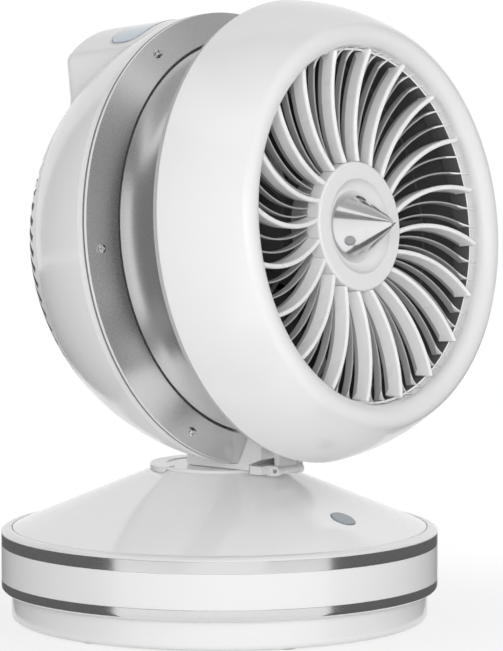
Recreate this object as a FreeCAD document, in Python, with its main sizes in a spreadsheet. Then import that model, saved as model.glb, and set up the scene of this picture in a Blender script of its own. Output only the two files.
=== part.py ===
import FreeCAD, Part
import math
import os
from types import SimpleNamespace

import Sketcher
from FreeCAD import Placement, Rotation, Vector

# Driving sizes, in millimetres and degrees
SIZES = {
    # shells and fits shared by many pieces
    "wall": 2.5,
    "fit_gap": 0.2,
    "running_gap": 0.05,
    "move_gap": 0.3,
    "screw_radius": 1.5,
    "screw_head": 2.6,
    "recess_width": 0.9,
    "recess_depth": 1.2,
    "screw_head_rise": 2.0,
    # base, from the table up
    "drum_radius": 135.0,
    "drum_height": 21.3,
    "pad_height": 0.8,
    "pad_radius": 7.0,
    "pad_count": 6,
    "foot_inset": 6.3,
    "foot_round": 4.0,
    "foot_top": 18.9,
    "foot_flange": 18.0,
    "floor_thick": 3.0,
    "trim_wall": 2.0,
    "trim_width": 7.4,
    "trim_round": 3.5,
    "drum_flange": 13.0,
    "shoulder_rise": 2.6,
    "shoulder_round": 7.5,
    "shoulder_edge": 0.4,
    "seam_inset": 6.5,
    "seam_gap": 0.5,
    "seam_depth": 2.4,
    "shelf_width": 6.0,
    "spigot_depth": 6.0,
    "cone_rise": 36.8,
    "cone_top_radius": 38.6,
    "well_depth": 2.0,
    "rim_land": 0.8,
    "ballast_inner": 66.0,
    "ballast_inset": 9.0,
    "ballast_thick": 6.0,
    "lens_radius": 7.8,
    "lens_inset": 31.0,
    "lens_thick": 4.0,
    "lens_proud": 0.5,
    "gland_radius": 5.4,
    "gland_neck": 4.4,
    "gland_bore": 3.2,
    "gland_lip": 2.0,
    "gland_height": 12.0,
    # swing drive
    "spindle_radius": 12.0,
    "spindle_bore": 8.0,
    "bush_wall": 4.0,
    "bush_flange": 6.0,
    "bush_stub": 2.0,
    "clip_land": 1.0,
    "flange_thick": 1.2,
    "collar_depth": 14.0,
    "collar_wall": 3.0,
    "chassis_drop": 44.4,
    "chassis_radius": 68.0,
    "chassis_thick": 3.0,
    "post_radius": 5.0,
    "post_ring": 52.0,
    "post_count": 4,
    "boss_ring": 57.0,
    "boss_spread": 20.0,
    "gear_module": 1.25,
    "gear_teeth": 48,
    "pinion_teeth": 16,
    "gear_width": 7.0,
    "gear_rise": 7.5,
    "backlash": 0.25,
    "swing_can_radius": 22.0,
    "swing_can_height": 20.0,
    "swing_shaft": 3.0,
    "board_length": 64.0,
    "board_width": 27.0,
    "board_thick": 1.6,
    "board_rise": 3.0,
    # neck
    "table_thick": 2.8,
    "table_round": 1.0,
    "apron_radius": 43.0,
    "apron_front": 10.0,
    "apron_rise": 0.5,
    "pad_rise": 3.5,
    "tilt_rise": 0.2,
    "tongue_half": 12.5,
    "tilt_reach": 54.5,
    "ear_radius": 3.0,
    "ear_inner": 8.6,
    "ear_width": 3.4,
    "knuckle_radius": 2.3,
    "pin_radius": 1.2,
    "block_half": 20.0,
    "block_front": 50.0,
    "block_back": 9.0,
    "block_relief": 10.0,
    "block_relief_rise": 4.2,
    # head, along its own axis
    "head_tilt": 6.7,
    "head_clear": 1.8,
    "head_radius": 138.3,
    "rim_front": 14.2,
    "rim_lip": 1.8,
    "rim_groove": 1.4,
    "rim_groove_depth": 2.2,
    "dome_front": 9.0,
    "dome_bend": 150.0,
    "grille_inset": 22.8,
    "grille_back": 46.0,
    "grille_bend": 138.5,
    "grille_thick": 2.2,
    "grille_slots": 72,
    "slot_width": 4.2,
    "slot_slant": 38.0,
    "ledge_depth": 7.0,
    "ledge_width": 4.5,
    "bulkhead_inner": 112.0,
    "pod_half": 47.0,
    "pod_side": 120.5,
    "pod_crown": 72.5,
    "pod_back": 74.0,
    "pod_round": 7.5,
    "window_half": 40.0,
    "window_front": 18.0,
    "window_back": 42.0,
    "window_round": 9.0,
    "window_thick": 2.0,
    "ring_width": 16.8,
    "ring_rise": 10.0,
    "ring_rim": 2.2,
    "ring_plate": 1.6,
    "ring_lip": 6.0,
    "ring_screws": 6,
    "ring_screw_inset": 7.2,
    "cove_depth": 9.2,
    "cove_end": 44.0,
    "cove_bend": 21.8,
    "tube_front": 80.0,
    "shroud_back": 72.0,
    "shroud_edge": 1.3,
    "collar_length": 3.2,
    "shroud_bend": 140.0,
    "shroud_centre": 50.0,
    "liner_taper": 1.2,
    "lip_bend": 8.0,
    "lip_at": 118.0,
    # outlet vanes and hub
    "hub_radius": 38.8,
    "hub_wall": 4.5,
    "hub_depth": 12.0,
    "hub_set": 7.0,
    "cap_thick": 9.6,
    "dish_depth": 5.0,
    "vane_count": 20,
    "vane_thick": 3.2,
    "vane_depth": 12.0,
    "vane_rise": 8.3,
    "vane_phase": 9.0,
    "vane_bow": 7.6,
    "vane_pitch": 10.0,
    "vane_set": 0.8,
    "slat_thick": 1.2,
    "slat_depth": 5.0,
    "slat_set": 8.0,
    "rim_wall": 1.5,
    "rim_depth": 12.0,
    "rim_set": 5.0,
    "cone_radius": 21.5,
    "cone_length": 32.0,
    "dimple_radius": 3.2,
    "dimple_depth": 0.9,
    "dimple_rise": 7.5,
    "dimple_count": 3,
    # fan motor and rotor
    "motor_radius": 30.0,
    "motor_length": 40.0,
    "motor_back": 50.0,
    "shaft_radius": 4.0,
    "bearing_radius": 9.0,
    "bearing_width": 6.0,
    "mount_cup": 20.0,
    "mount_back": 56.0,
    "strut_count": 5,
    "strut_thick": 3.0,
    "rotor_hub": 36.0,
    "rotor_back": 14.0,
    "rotor_length": 30.0,
    "blade_count": 9,
    "blade_tip_gap": 3.5,
    "blade_root_chord": 30.0,
    "blade_tip_chord": 36.0,
    "blade_root_angle": 38.0,
    "blade_tip_angle": 60.0,
    "blade_thick": 2.2,
    "nut_length": 9.0,
    "nut_radius": 9.0,
}

doc = FreeCAD.newDocument("turbine_fan")
sheet = doc.addObject("Spreadsheet::Sheet", "Sizes")


class Size:
    """A number together with the sheet expression that works it out."""

    def __init__(self, value, text):
        self.value = value
        self.text = text

    def __add__(self, other):
        other = size(other)
        return Size(self.value + other.value, f"({self.text} + {other.text})")

    def __sub__(self, other):
        other = size(other)
        return Size(self.value - other.value, f"({self.text} - {other.text})")

    def __mul__(self, other):
        other = size(other)
        return Size(self.value * other.value, f"({self.text} * {other.text})")

    def __truediv__(self, other):
        other = size(other)
        return Size(self.value / other.value, f"({self.text} / {other.text})")

    def __neg__(self):
        return Size(-self.value, f"(-1 * {self.text})")

    def __radd__(self, other):
        return size(other) + self

    def __rsub__(self, other):
        return size(other) - self

    def __rmul__(self, other):
        return size(other) * self


def size(number):
    """Any number as a Size."""
    if isinstance(number, Size):
        return number
    return Size(float(number), repr(float(number)))


def root(area):
    return Size(math.sqrt(area.value), f"sqrt({area.text})")


def sine(angle):
    return Size(math.sin(math.radians(angle.value)), f"sin({angle.text})")


def cosine(angle):
    return Size(math.cos(math.radians(angle.value)), f"cos({angle.text})")


def fill_sheet():
    """Write the driving sizes into the sheet and read them back as named Sizes."""
    for row, (name, value) in enumerate(SIZES.items(), 1):
        sheet.set(f"A{row}", name)
        sheet.set(f"B{row}", str(value))
        sheet.setAlias(f"B{row}", name)
    doc.recompute()
    return SimpleNamespace(**{name: Size(float(sheet.get(name)), f"Sizes.{name}") for name in SIZES})


d = fill_sheet()
ZERO = size(0)

# Levels of the base, from the table up
foot_radius = d.drum_radius - d.foot_inset
floor_level = d.pad_height + d.wall
floor_top = floor_level + d.floor_thick
trim_floor = d.foot_top + d.trim_wall
drum_bottom = d.foot_top + d.trim_width
drum_top = drum_bottom + d.drum_height
shoulder_bottom = drum_top + d.trim_width
seam_level = shoulder_bottom + d.shoulder_rise
cone_top = seam_level + d.cone_rise
well_level = cone_top - d.well_depth
table_bottom = well_level + d.flange_thick
table_top = table_bottom + d.table_thick
seam_radius = d.drum_radius - d.seam_inset
recess_radius = d.drum_radius - d.trim_wall
bush_radius = d.spindle_radius + d.bush_wall
chassis_level = well_level - d.chassis_drop
table_radius = d.cone_top_radius - d.move_gap
tongue_bottom = cone_top + d.move_gap
chassis_top = chassis_level + d.chassis_thick
gear_level = chassis_top + d.gear_rise
gear_distance = d.gear_module * (d.gear_teeth + d.pinion_teeth) / 2
spindle_foot = chassis_level - d.bush_stub - d.move_gap - d.flange_thick - d.clip_land

# Places in the head, measured along its axis from the tilted frame's origin
head_height = table_top + d.head_clear + d.head_radius * cosine(d.head_tilt) - d.dome_front * sine(d.head_tilt)
tilt_level = table_top + d.tilt_rise
pad_top = table_top + d.pad_rise
grille_radius = d.head_radius - d.grille_inset
grille_centre = root(d.grille_bend * d.grille_bend - grille_radius * grille_radius) - d.grille_back
bulkhead_front = d.dome_front + 0.5
ring_back = d.rim_front + d.ring_rim - d.rim_lip
groove_back = ring_back - d.rim_groove
ring_front = d.rim_front + d.ring_rim + d.ring_rise
ring_inner = d.head_radius - d.ring_width
skirt_radius = ring_inner - d.ring_plate - d.fit_gap
tube_radius = skirt_radius - d.cove_depth
tube_bore = tube_radius - d.wall
cove_centre = tube_radius + d.cove_bend
outlet_radius = tube_bore - d.liner_taper
lip_centre = outlet_radius + d.lip_bend
hub_front = d.lip_at - d.hub_set
pod_centre = d.pod_side - root(d.pod_crown * d.pod_crown - d.pod_half * d.pod_half)
blade_tip = tube_bore - d.blade_tip_gap

nodes = []


def in_head(obj):
    """Turn and lift a piece from its own frame (x, up, forward) into the tilted head."""
    obj.Placement = Placement(Vector(0, 0, head_height.value), Rotation(Vector(1, 0, 0), 90 - d.head_tilt.value))
    obj.setExpression("Placement.Base.z", head_height.text)
    obj.setExpression("Placement.Rotation.Angle", f"90 - {d.head_tilt.text}")


def node(obj, label, place=None):
    """Name a finished sub-part and set it in its place."""
    obj.Label = label
    if place:
        place(obj)
    nodes.append(obj)
    return obj


def sketch_on(body, plane, name, start=ZERO):
    """A sketch on one of the body's own planes, moved along the plane's normal."""
    sketch = body.newObject("Sketcher::SketchObject", name)
    support = [feature for feature in body.Origin.OriginFeatures if feature.Role == plane][0]
    sketch.AttachmentSupport = [(support, "")]
    sketch.MapMode = "FlatFace"
    sketch.setExpression("AttachmentOffset.Base.z", start.text)
    return sketch


def pin(sketch, edge, end, x, y):
    """Hold one end of an edge at (x, y)."""
    for kind, axis, place in (("DistanceX", -2, x), ("DistanceY", -1, y)):
        if abs(place.value) < 1e-9:
            sketch.addConstraint(Sketcher.Constraint("PointOnObject", edge, end, axis))
        else:
            index = sketch.addConstraint(Sketcher.Constraint(kind, -1, 1, edge, end, place.value))
            sketch.setExpression(f"Constraints[{index}]", place.text)


def bend(sketch, start, stop, turn, radius):
    """An arc of under half a circle that turns left or right; gives its index and its end numbers."""
    chord = stop - start
    side = Vector(-chord.y, chord.x, 0).normalize()
    height = math.sqrt(max(radius.value ** 2 - (chord.Length / 2) ** 2, 0.0))
    left = turn == "left"
    centre = (start + stop) / 2 + side * (height if left else -height)
    first, last = (start, stop) if left else (stop, start)
    begin = math.atan2(first.y - centre.y, first.x - centre.x)
    finish = math.atan2(last.y - centre.y, last.x - centre.x)
    circle = Part.Circle(centre, Vector(0, 0, 1), radius.value)
    edge = sketch.addGeometry(Part.ArcOfCircle(circle, begin, finish), False)
    index = sketch.addConstraint(Sketcher.Constraint("Radius", edge, radius.value))
    sketch.setExpression(f"Constraints[{index}]", radius.text)
    return (edge, 1, 2) if left else (edge, 2, 1)


def outline(sketch, corners, closed=True):
    """Edges through corners (x, y), each with an optional turn and radius for the arc that follows it."""
    corners = [(size(c[0]), size(c[1])) + tuple(c[2:]) for c in corners]
    points = [Vector(c[0].value, c[1].value, 0) for c in corners]
    edges = []
    for i in range(len(corners) if closed else len(corners) - 1):
        after = points[(i + 1) % len(points)]
        if len(corners[i]) > 2:
            edges.append(bend(sketch, points[i], after, corners[i][2], size(corners[i][3])))
        else:
            edges.append((sketch.addGeometry(Part.LineSegment(points[i], after), False), 1, 2))
    for i, (edge, first, last) in enumerate(edges):
        if closed or i + 1 < len(edges):
            after = edges[(i + 1) % len(edges)]
            sketch.addConstraint(Sketcher.Constraint("Coincident", edge, last, after[0], after[1]))
        pin(sketch, edge, first, corners[i][0], corners[i][1])
    if not closed:
        pin(sketch, edges[-1][0], edges[-1][2], corners[-1][0], corners[-1][1])


def disc(sketch, x, y, radius):
    """A full circle."""
    x, y, radius = size(x), size(y), size(radius)
    circle = Part.Circle(Vector(x.value, y.value, 0), Vector(0, 0, 1), radius.value)
    edge = sketch.addGeometry(circle, False)
    index = sketch.addConstraint(Sketcher.Constraint("Radius", edge, radius.value))
    sketch.setExpression(f"Constraints[{index}]", radius.text)
    pin(sketch, edge, 3, x, y)


def block(sketch, x0, y0, x1, y1):
    """A rectangle between two corners."""
    outline(sketch, [(x0, y0), (x1, y0), (x1, y1), (x0, y1)])


def new_body(name):
    return doc.addObject("PartDesign::Body", name)


def turn(body, name, corners, kind="PartDesign::Revolution"):
    """Turn a profile of (radius, height) corners about the body's Z axis, to add or to cut."""
    sketch = sketch_on(body, "XZ_Plane", name + "_profile")
    outline(sketch, corners)
    feature = body.newObject(kind, name)
    feature.Profile = sketch
    feature.ReferenceAxis = (sketch, ["V_Axis"])
    feature.Angle = 360
    return feature


def turned(name, corners):
    """A body that is one turned profile."""
    body = new_body(name)
    turn(body, name + "_turn", corners)
    return body


def raised(body, name, draw, start, height):
    """Pad what draw sketches, from the level start up by height."""
    sketch = sketch_on(body, "XY_Plane", name + "_sketch", size(start))
    draw(sketch)
    feature = body.newObject("PartDesign::Pad", name)
    feature.Profile = sketch
    feature.Length = size(height).value
    feature.setExpression("Length", size(height).text)
    return feature


def sunk(body, name, draw, start, depth):
    """Pocket what draw sketches, from the level start down by depth."""
    sketch = sketch_on(body, "XY_Plane", name + "_sketch", size(start))
    draw(sketch)
    feature = body.newObject("PartDesign::Pocket", name)
    feature.Profile = sketch
    feature.Length = size(depth).value
    feature.setExpression("Length", size(depth).text)
    return feature


def around(body, features, count):
    """Repeat features evenly about the body's Z axis."""
    axis = [f for f in body.Origin.OriginFeatures if f.Role == "Z_Axis"][0]
    pattern = body.newObject("PartDesign::PolarPattern", features[0].Name + "_pattern")
    pattern.Originals = features
    pattern.Axis = (axis, [""])
    pattern.Angle = 360
    pattern.Occurrences = int(count.value)
    pattern.setExpression("Occurrences", count.text)
    pattern.Refine = False
    body.Tip = pattern
    return pattern


def rounded(body, feature, radius, chosen):
    """Fillet the edges of a feature whose middle passes the test."""
    doc.recompute()
    edges = feature.Shape.Edges
    names = [f"Edge{i}" for i, edge in enumerate(edges, 1) if chosen(edge.CenterOfMass, edge)]
    fillet = body.newObject("PartDesign::Fillet", feature.Name + "_fillet")
    fillet.Base = (feature, names)
    fillet.Radius = radius.value
    fillet.setExpression("Radius", radius.text)
    return fillet


def primitive(kind, name, place, **sizes):
    """A Part primitive with its sizes bound to the sheet."""
    obj = doc.addObject(kind, name)
    for prop, value in sizes.items():
        setattr(obj, prop, size(value).value)
        obj.setExpression(prop, size(value).text)
    obj.Placement = place
    return obj


def joined(kind, name, first, second):
    """A Part::Cut or Part::Common of two objects."""
    obj = doc.addObject(kind, name)
    obj.Base = first
    obj.Tool = second
    return obj


def together(kind, name, members):
    """A Part::MultiFuse or Part::Compound of several objects."""
    obj = doc.addObject(kind, name)
    if kind == "Part::Compound":
        obj.Links = members
    else:
        obj.Shapes = members
    return obj


def towards(point, direction):
    """A placement whose Z axis points along a direction."""
    return Placement(point, Rotation(Vector(0, 0, 1), direction))


def spread(count, radius, level, start=0.0):
    """Points spaced evenly round the Z axis."""
    angles = [math.radians(start + 360 * i / count) for i in range(count)]
    return [Vector(radius * math.cos(a), radius * math.sin(a), level) for a in angles]


def screw_group(label, places, length, place=None):
    """Equal pan-head screws, one at each placement, heads towards +Z with the seat at the placement."""
    head = Part.makeCylinder(d.screw_head.value, d.screw_head_rise.value)
    rim = [edge for edge in head.Edges if edge.CenterOfMass.z > 0.9 * d.screw_head_rise.value]
    head = head.makeFillet(0.6 * d.screw_head_rise.value, rim[:1])
    half = d.recess_width.value / 2
    arm = 0.62 * d.screw_head.value
    floor = d.screw_head_rise.value - d.recess_depth.value
    for long, wide in ((arm, half), (half, arm)):
        head = head.cut(Part.makeBox(2 * long, 2 * wide, d.screw_head_rise.value, Vector(-long, -wide, floor)))
    one = head.fuse(Part.makeCylinder(d.screw_radius.value, length, Vector(0, 0, -length))).removeSplitter()
    copies = []
    for spot in places:
        copy = one.copy()
        copy.Placement = spot
        copies.append(copy)
    group = doc.addObject("Part::Feature", label)
    group.Shape = Part.Compound(copies)
    return node(group, label, place)


def holes(name, places, radius, length):
    """A compound of equal drills, each running down its placement's Z axis."""
    drills = []
    for i, spot in enumerate(places):
        base = spot.Base - spot.Rotation.multVec(Vector(0, 0, length))
        drill_place = Placement(base, spot.Rotation)
        drills.append(primitive("Part::Cylinder", f"{name}_{i}", drill_place, Radius=radius, Height=length))
    return together("Part::Compound", name, drills)


# Base shells


def make_foot_ring():
    inner_round = d.foot_round - d.wall
    inner = foot_radius - d.wall
    edge = foot_radius - d.foot_round
    body = turned("foot_ring_shell", [
        (edge - d.foot_flange, d.pad_height),
        (edge, d.pad_height, "left", d.foot_round),
        (foot_radius, d.pad_height + d.foot_round),
        (foot_radius, trim_floor),
        (inner, trim_floor),
        (inner, floor_level + inner_round, "right", inner_round),
        (inner - inner_round, floor_level),
        (edge - d.foot_flange, floor_level),
    ])
    inlet = towards(Vector(0, foot_radius.value + d.wall.value, d.gland_height.value), Vector(0, 1, 0))
    hole = holes("inlet_hole", [inlet], d.gland_neck + d.fit_gap, 4 * d.wall.value)
    node(joined("Part::Cut", "foot_ring", body, hole), "foot_ring")


def make_rubber_feet():
    body = new_body("rubber_feet")
    ring = foot_radius - d.foot_round - d.foot_flange / 2
    pads = raised(body, "pad", lambda s: disc(s, ring, 0, d.pad_radius), ZERO, d.pad_height)
    around(body, [pads], d.pad_count)
    node(body, "rubber_feet")


def make_floor_plate():
    rim = foot_radius - d.foot_round - d.fit_gap
    body = turned("floor_plate", [(0, floor_level), (rim, floor_level), (rim, floor_top), (0, floor_top)])
    ring = d.post_ring * cosine(size(45))
    hole = sunk(body, "floor_holes", lambda s: disc(s, ring, ring, d.screw_radius + d.fit_gap),
                floor_top, d.floor_thick)
    around(body, [hole], d.post_count)
    node(body, "floor_plate")


def make_lower_trim():
    inner = foot_radius + d.fit_gap
    node(turned("lower_trim", [
        (inner, d.foot_top),
        (d.drum_radius - d.trim_round, d.foot_top, "left", d.trim_round),
        (d.drum_radius, d.foot_top + d.trim_round),
        (d.drum_radius, drum_bottom),
        (recess_radius, drum_bottom),
        (recess_radius, trim_floor),
        (inner, trim_floor),
    ]), "lower_trim")


def make_base_drum():
    inner = recess_radius - d.wall
    node(turned("base_drum", [
        (recess_radius, trim_floor),
        (recess_radius, drum_bottom),
        (d.drum_radius, drum_bottom),
        (d.drum_radius, drum_top),
        (recess_radius, drum_top),
        (recess_radius, shoulder_bottom),
        (inner, shoulder_bottom),
        (inner, trim_floor + d.wall),
        (recess_radius - d.drum_flange, trim_floor + d.wall),
        (recess_radius - d.drum_flange, trim_floor),
    ]), "base_drum")


def make_upper_trim():
    node(turned("upper_trim", [
        (recess_radius, drum_top),
        (d.drum_radius, drum_top),
        (d.drum_radius, shoulder_bottom),
        (recess_radius, shoulder_bottom),
    ]), "upper_trim")


def make_shoulder_ring():
    shelf = seam_level - d.seam_depth
    spigot = recess_radius - d.wall - d.fit_gap
    node(turned("shoulder_ring", [
        (d.drum_radius, shoulder_bottom),
        (d.drum_radius, shoulder_bottom + d.shoulder_edge, "left", d.shoulder_round),
        (seam_radius, seam_level),
        (seam_radius, shelf),
        (seam_radius - d.shelf_width, shelf),
        (seam_radius - d.shelf_width, shelf - d.wall),
        (spigot - d.wall, shelf - d.wall),
        (spigot - d.wall, shoulder_bottom - d.spigot_depth),
        (spigot, shoulder_bottom - d.spigot_depth),
        (spigot, shoulder_bottom),
    ]), "shoulder_ring")


def lens_place():
    """The middle of the lens on the cone's slope, facing out along the slope's normal."""
    rim = (seam_radius - d.seam_gap).value
    run = rim - (d.cone_top_radius + d.rim_land).value
    spot = seam_radius.value - d.lens_inset.value
    level = seam_level.value + (rim - spot) * d.cone_rise.value / run
    return towards(Vector(0, -spot, level), Vector(0, -d.cone_rise.value, run))


def boss_points(level):
    """Four fixing points between the chassis and the cone, clear of the motor and the board."""
    angles = [90 - d.boss_spread.value, 90 + d.boss_spread.value]
    angles += [a + 180 for a in angles]
    ring = d.boss_ring.value
    return [Vector(ring * math.cos(math.radians(a)), ring * math.sin(math.radians(a)), level) for a in angles]


def make_cone_cover():
    rim = seam_radius - d.seam_gap
    shelf = seam_level - d.seam_depth
    collar = bush_radius + d.collar_wall
    shell = turned("cone_shell", [
        (rim, shelf),
        (rim, seam_level),
        (d.cone_top_radius + d.rim_land, cone_top),
        (d.cone_top_radius, cone_top),
        (d.cone_top_radius, well_level),
        (bush_radius, well_level),
        (bush_radius, well_level - d.collar_depth),
        (collar, well_level - d.collar_depth),
        (collar, well_level - d.wall),
        (d.cone_top_radius + d.rim_land, well_level - d.wall),
        (rim - d.shelf_width, shelf),
    ])
    slope = d.cone_rise / (rim - d.cone_top_radius - d.rim_land)
    boss_height = (seam_level + (rim - d.boss_ring - d.post_radius) * slope - chassis_top).value
    bosses = [primitive("Part::Cylinder", f"cone_boss_{i}", Placement(p, Rotation()),
                        Radius=d.post_radius, Height=boss_height)
              for i, p in enumerate(boss_points(chassis_top.value))]
    whole = together("Part::MultiFuse", "cone_with_bosses", [shell] + bosses)
    drill = holes("cone_boss_holes", [Placement(p, Rotation(Vector(1, 0, 0), 180)) for p in
                                      boss_points(chassis_top.value)], d.screw_radius, 8.0)
    window = lens_place()
    window.Base = window.Base + window.Rotation.multVec(Vector(0, 0, d.wall.value))
    port = holes("lens_hole", [window], d.lens_radius + d.fit_gap, 5 * d.wall.value)
    cuts = together("Part::Compound", "cone_cuts", [drill, port])
    node(joined("Part::Cut", "cone_cover", whole, cuts), "cone_cover")


def make_receiver_lens():
    place = lens_place()
    foot = place.Rotation.multVec(Vector(0, 0, d.lens_proud.value - d.lens_thick.value))
    body = new_body("receiver_lens")
    puck = raised(body, "lens_puck", lambda s: disc(s, 0, 0, d.lens_radius), ZERO, d.lens_thick)
    rounded(body, puck, d.lens_proud, lambda centre, edge: centre.z > 0.9 * d.lens_thick.value)
    body.Placement = Placement(place.Base + foot, place.Rotation)
    node(body, "receiver_lens")


def make_ballast_ring():
    outer = foot_radius - d.foot_round - d.ballast_inset
    node(turned("ballast_ring", [
        (d.ballast_inner, floor_top),
        (outer, floor_top),
        (outer, floor_top + d.ballast_thick),
        (d.ballast_inner, floor_top + d.ballast_thick),
    ]), "ballast_ring")


def make_cord_gland():
    wall_face = foot_radius
    inner_face = foot_radius - d.wall - d.move_gap
    body = turned("cord_gland", [
        (d.gland_bore, inner_face - d.gland_lip),
        (d.gland_radius, inner_face - d.gland_lip),
        (d.gland_radius, inner_face),
        (d.gland_neck, inner_face),
        (d.gland_neck, wall_face),
        (d.gland_radius, wall_face),
        (d.gland_radius - 0.8, wall_face + d.gland_lip),
        (d.gland_bore, wall_face + d.gland_lip),
    ])
    body.Placement = towards(Vector(0, 0, d.gland_height.value), Vector(0, 1, 0))
    body.setExpression("Placement.Base.z", d.gland_height.text)
    node(body, "cord_gland")


# Swing drive inside the base


def board_corners():
    """Middles of the four board pillars on the chassis."""
    middle = -(d.chassis_radius.value - d.board_width.value / 2 - 8.0)
    dx = d.board_width.value / 2 - 4.0
    dy = d.board_length.value / 2 - 4.0
    return [(middle + sx * dx, sy * dy) for sx in (-1, 1) for sy in (-1, 1)]


def make_chassis():
    plate = turned("chassis_plate", [
        (bush_radius, chassis_level),
        (d.chassis_radius, chassis_level),
        (d.chassis_radius, chassis_top),
        (bush_radius, chassis_top),
    ])
    height = chassis_level - floor_top
    posts = [primitive("Part::Cylinder", f"chassis_post_{i}", Placement(p, Rotation()),
                       Radius=d.post_radius, Height=height)
             for i, p in enumerate(spread(int(d.post_count.value), d.post_ring.value, floor_top.value, 45))]
    pillars = [primitive("Part::Cylinder", f"board_pillar_{i}", Placement(Vector(x, y, chassis_top.value), Rotation()),
                         Radius=2.5, Height=d.board_rise)
               for i, (x, y) in enumerate(board_corners())]
    whole = together("Part::MultiFuse", "chassis_whole", [plate] + posts + pillars)
    up = Rotation(Vector(1, 0, 0), 180)
    post_feet = [Placement(p, up) for p in spread(int(d.post_count.value), d.post_ring.value, floor_top.value, 45)]
    blind = holes("post_holes", post_feet, d.screw_radius, 12.0)
    boss_feet = [Placement(p, up) for p in boss_points(chassis_level.value)]
    through = holes("boss_holes", boss_feet, d.screw_radius + d.fit_gap, d.chassis_thick.value)
    shaft_spot = Vector(gear_distance.value, 0, chassis_level.value)
    shaft = holes("shaft_hole", [Placement(shaft_spot, up)], 2 * d.swing_shaft + d.fit_gap, d.chassis_thick.value)
    cuts = together("Part::Compound", "chassis_cuts", [blind, through, shaft])
    node(joined("Part::Cut", "chassis", whole, cuts), "chassis")


def make_base_screws():
    down = Rotation(Vector(1, 0, 0), 180)
    feet = spread(int(d.post_count.value), d.post_ring.value, floor_level.value, 45)
    screw_group("base_screws", [Placement(p, down) for p in feet], d.floor_thick.value + 9.0)
    screw_group("chassis_screws", [Placement(p, down) for p in boss_points(chassis_level.value)],
                d.chassis_thick.value + 7.0)


def make_bushes():
    bore = d.spindle_radius + d.running_gap
    flange = bush_radius + d.bush_flange
    for label, level, depth in (("upper_bush", well_level, d.collar_depth),
                                ("lower_bush", chassis_top, d.chassis_thick + d.bush_stub)):
        node(turned(label, [
            (bore, level - depth),
            (bush_radius, level - depth),
            (bush_radius, level),
            (flange, level),
            (flange, level + d.flange_thick),
            (bore, level + d.flange_thick),
        ]), label)


def make_swing_motor():
    body = new_body("swing_motor")
    boss = 2 * d.swing_shaft
    turn(body, "swing_can", [
        (0, chassis_level - d.swing_can_height),
        (d.swing_can_radius - 2.0, chassis_level - d.swing_can_height, "left", 2.0),
        (d.swing_can_radius, chassis_level - d.swing_can_height + 2.0),
        (d.swing_can_radius, chassis_level),
        (boss, chassis_level),
        (boss, chassis_top + 2.0),
        (d.swing_shaft + d.running_gap, chassis_top + 2.0),
        (d.swing_shaft + d.running_gap, chassis_level - 2.0),
        (0, chassis_level - 2.0),
    ])
    body.setExpression("Placement.Base.x", gear_distance.text)
    node(body, "swing_motor")


def tooth_wire(teeth, module, slack):
    """Closed outline of a spur gear, its flanks arcs through three points of the involute."""
    pressure = math.radians(20)
    pitch = module * teeth / 2
    base = pitch * math.cos(pressure)
    tip = pitch + 0.9 * module
    low = pitch - 1.2 * module
    half = math.pi / (2 * teeth) - slack / (4 * pitch) + math.tan(pressure) - pressure

    def flank(radius, side, middle):
        lean = math.acos(min(1.0, base / max(radius, base)))
        angle = middle + side * (half - math.tan(lean) + lean)
        return Vector(radius * math.cos(angle), radius * math.sin(angle), 0)

    def arc_point(radius, angle):
        return Vector(radius * math.cos(angle), radius * math.sin(angle), 0)

    edges = []
    step = 2 * math.pi / teeth
    for i in range(teeth):
        middle = i * step
        up = [flank(radius, -1, middle) for radius in (low, pitch, tip)]
        back = [flank(radius, 1, middle) for radius in (tip, pitch, low)]
        after = flank(low, -1, middle + step)
        edges.append(Part.Arc(*up).toShape())
        edges.append(Part.Arc(up[2], arc_point(tip, middle), back[0]).toShape())
        edges.append(Part.Arc(*back).toShape())
        edges.append(Part.Arc(back[2], arc_point(low, middle + step / 2), after).toShape())
    return Part.Wire(edges)


def gear_blank(teeth):
    face = Part.Face(tooth_wire(int(teeth.value), d.gear_module.value, d.backlash.value))
    return face.extrude(Vector(0, 0, d.gear_width.value))


def make_gears():
    bore = Part.makeCylinder(d.spindle_radius.value, d.gear_width.value)
    gear = doc.addObject("Part::Feature", "spindle_gear")
    gear.Shape = gear_blank(d.gear_teeth).cut(bore)
    gear.setExpression("Placement.Base.z", gear_level.text)
    node(gear, "spindle_gear")

    drop = (gear_level - chassis_level + 1.5).value
    stem = Part.makeCylinder(d.swing_shaft.value, drop, Vector(0, 0, -drop))
    pinion = doc.addObject("Part::Feature", "drive_pinion")
    pinion.Shape = gear_blank(d.pinion_teeth).fuse(stem).removeSplitter()
    half_tooth = 180.0 * (1 - int(d.pinion_teeth.value) % 2) / d.pinion_teeth.value
    spot = Vector(gear_distance.value, 0, gear_level.value)
    pinion.Placement = Placement(spot, Rotation(Vector(0, 0, 1), half_tooth))
    node(pinion, "drive_pinion")


def make_control_board():
    """Circuit board on the chassis with its relay, capacitor and connector row."""
    middle = -(d.chassis_radius - d.board_width / 2 - 8.0)
    level = chassis_top + d.board_rise
    top = level + d.board_thick
    x0 = middle - d.board_width / 2
    y0 = -d.board_length / 2
    body = new_body("control_board")
    raised(body, "board_sheet", lambda s: block(s, x0, y0, x0 + d.board_width, y0 + d.board_length),
           level, d.board_thick)
    raised(body, "relay", lambda s: block(s, x0 + 4, y0 + 8, x0 + 18, y0 + 22), top, 9.0)
    raised(body, "capacitor", lambda s: disc(s, x0 + 14, y0 + 32, 5.0), top, 10.0)
    raised(body, "connector", lambda s: block(s, x0 + 5, y0 + 44, x0 + 12, y0 + 58), top, 6.0)
    node(body, "control_board")


# Neck


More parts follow.
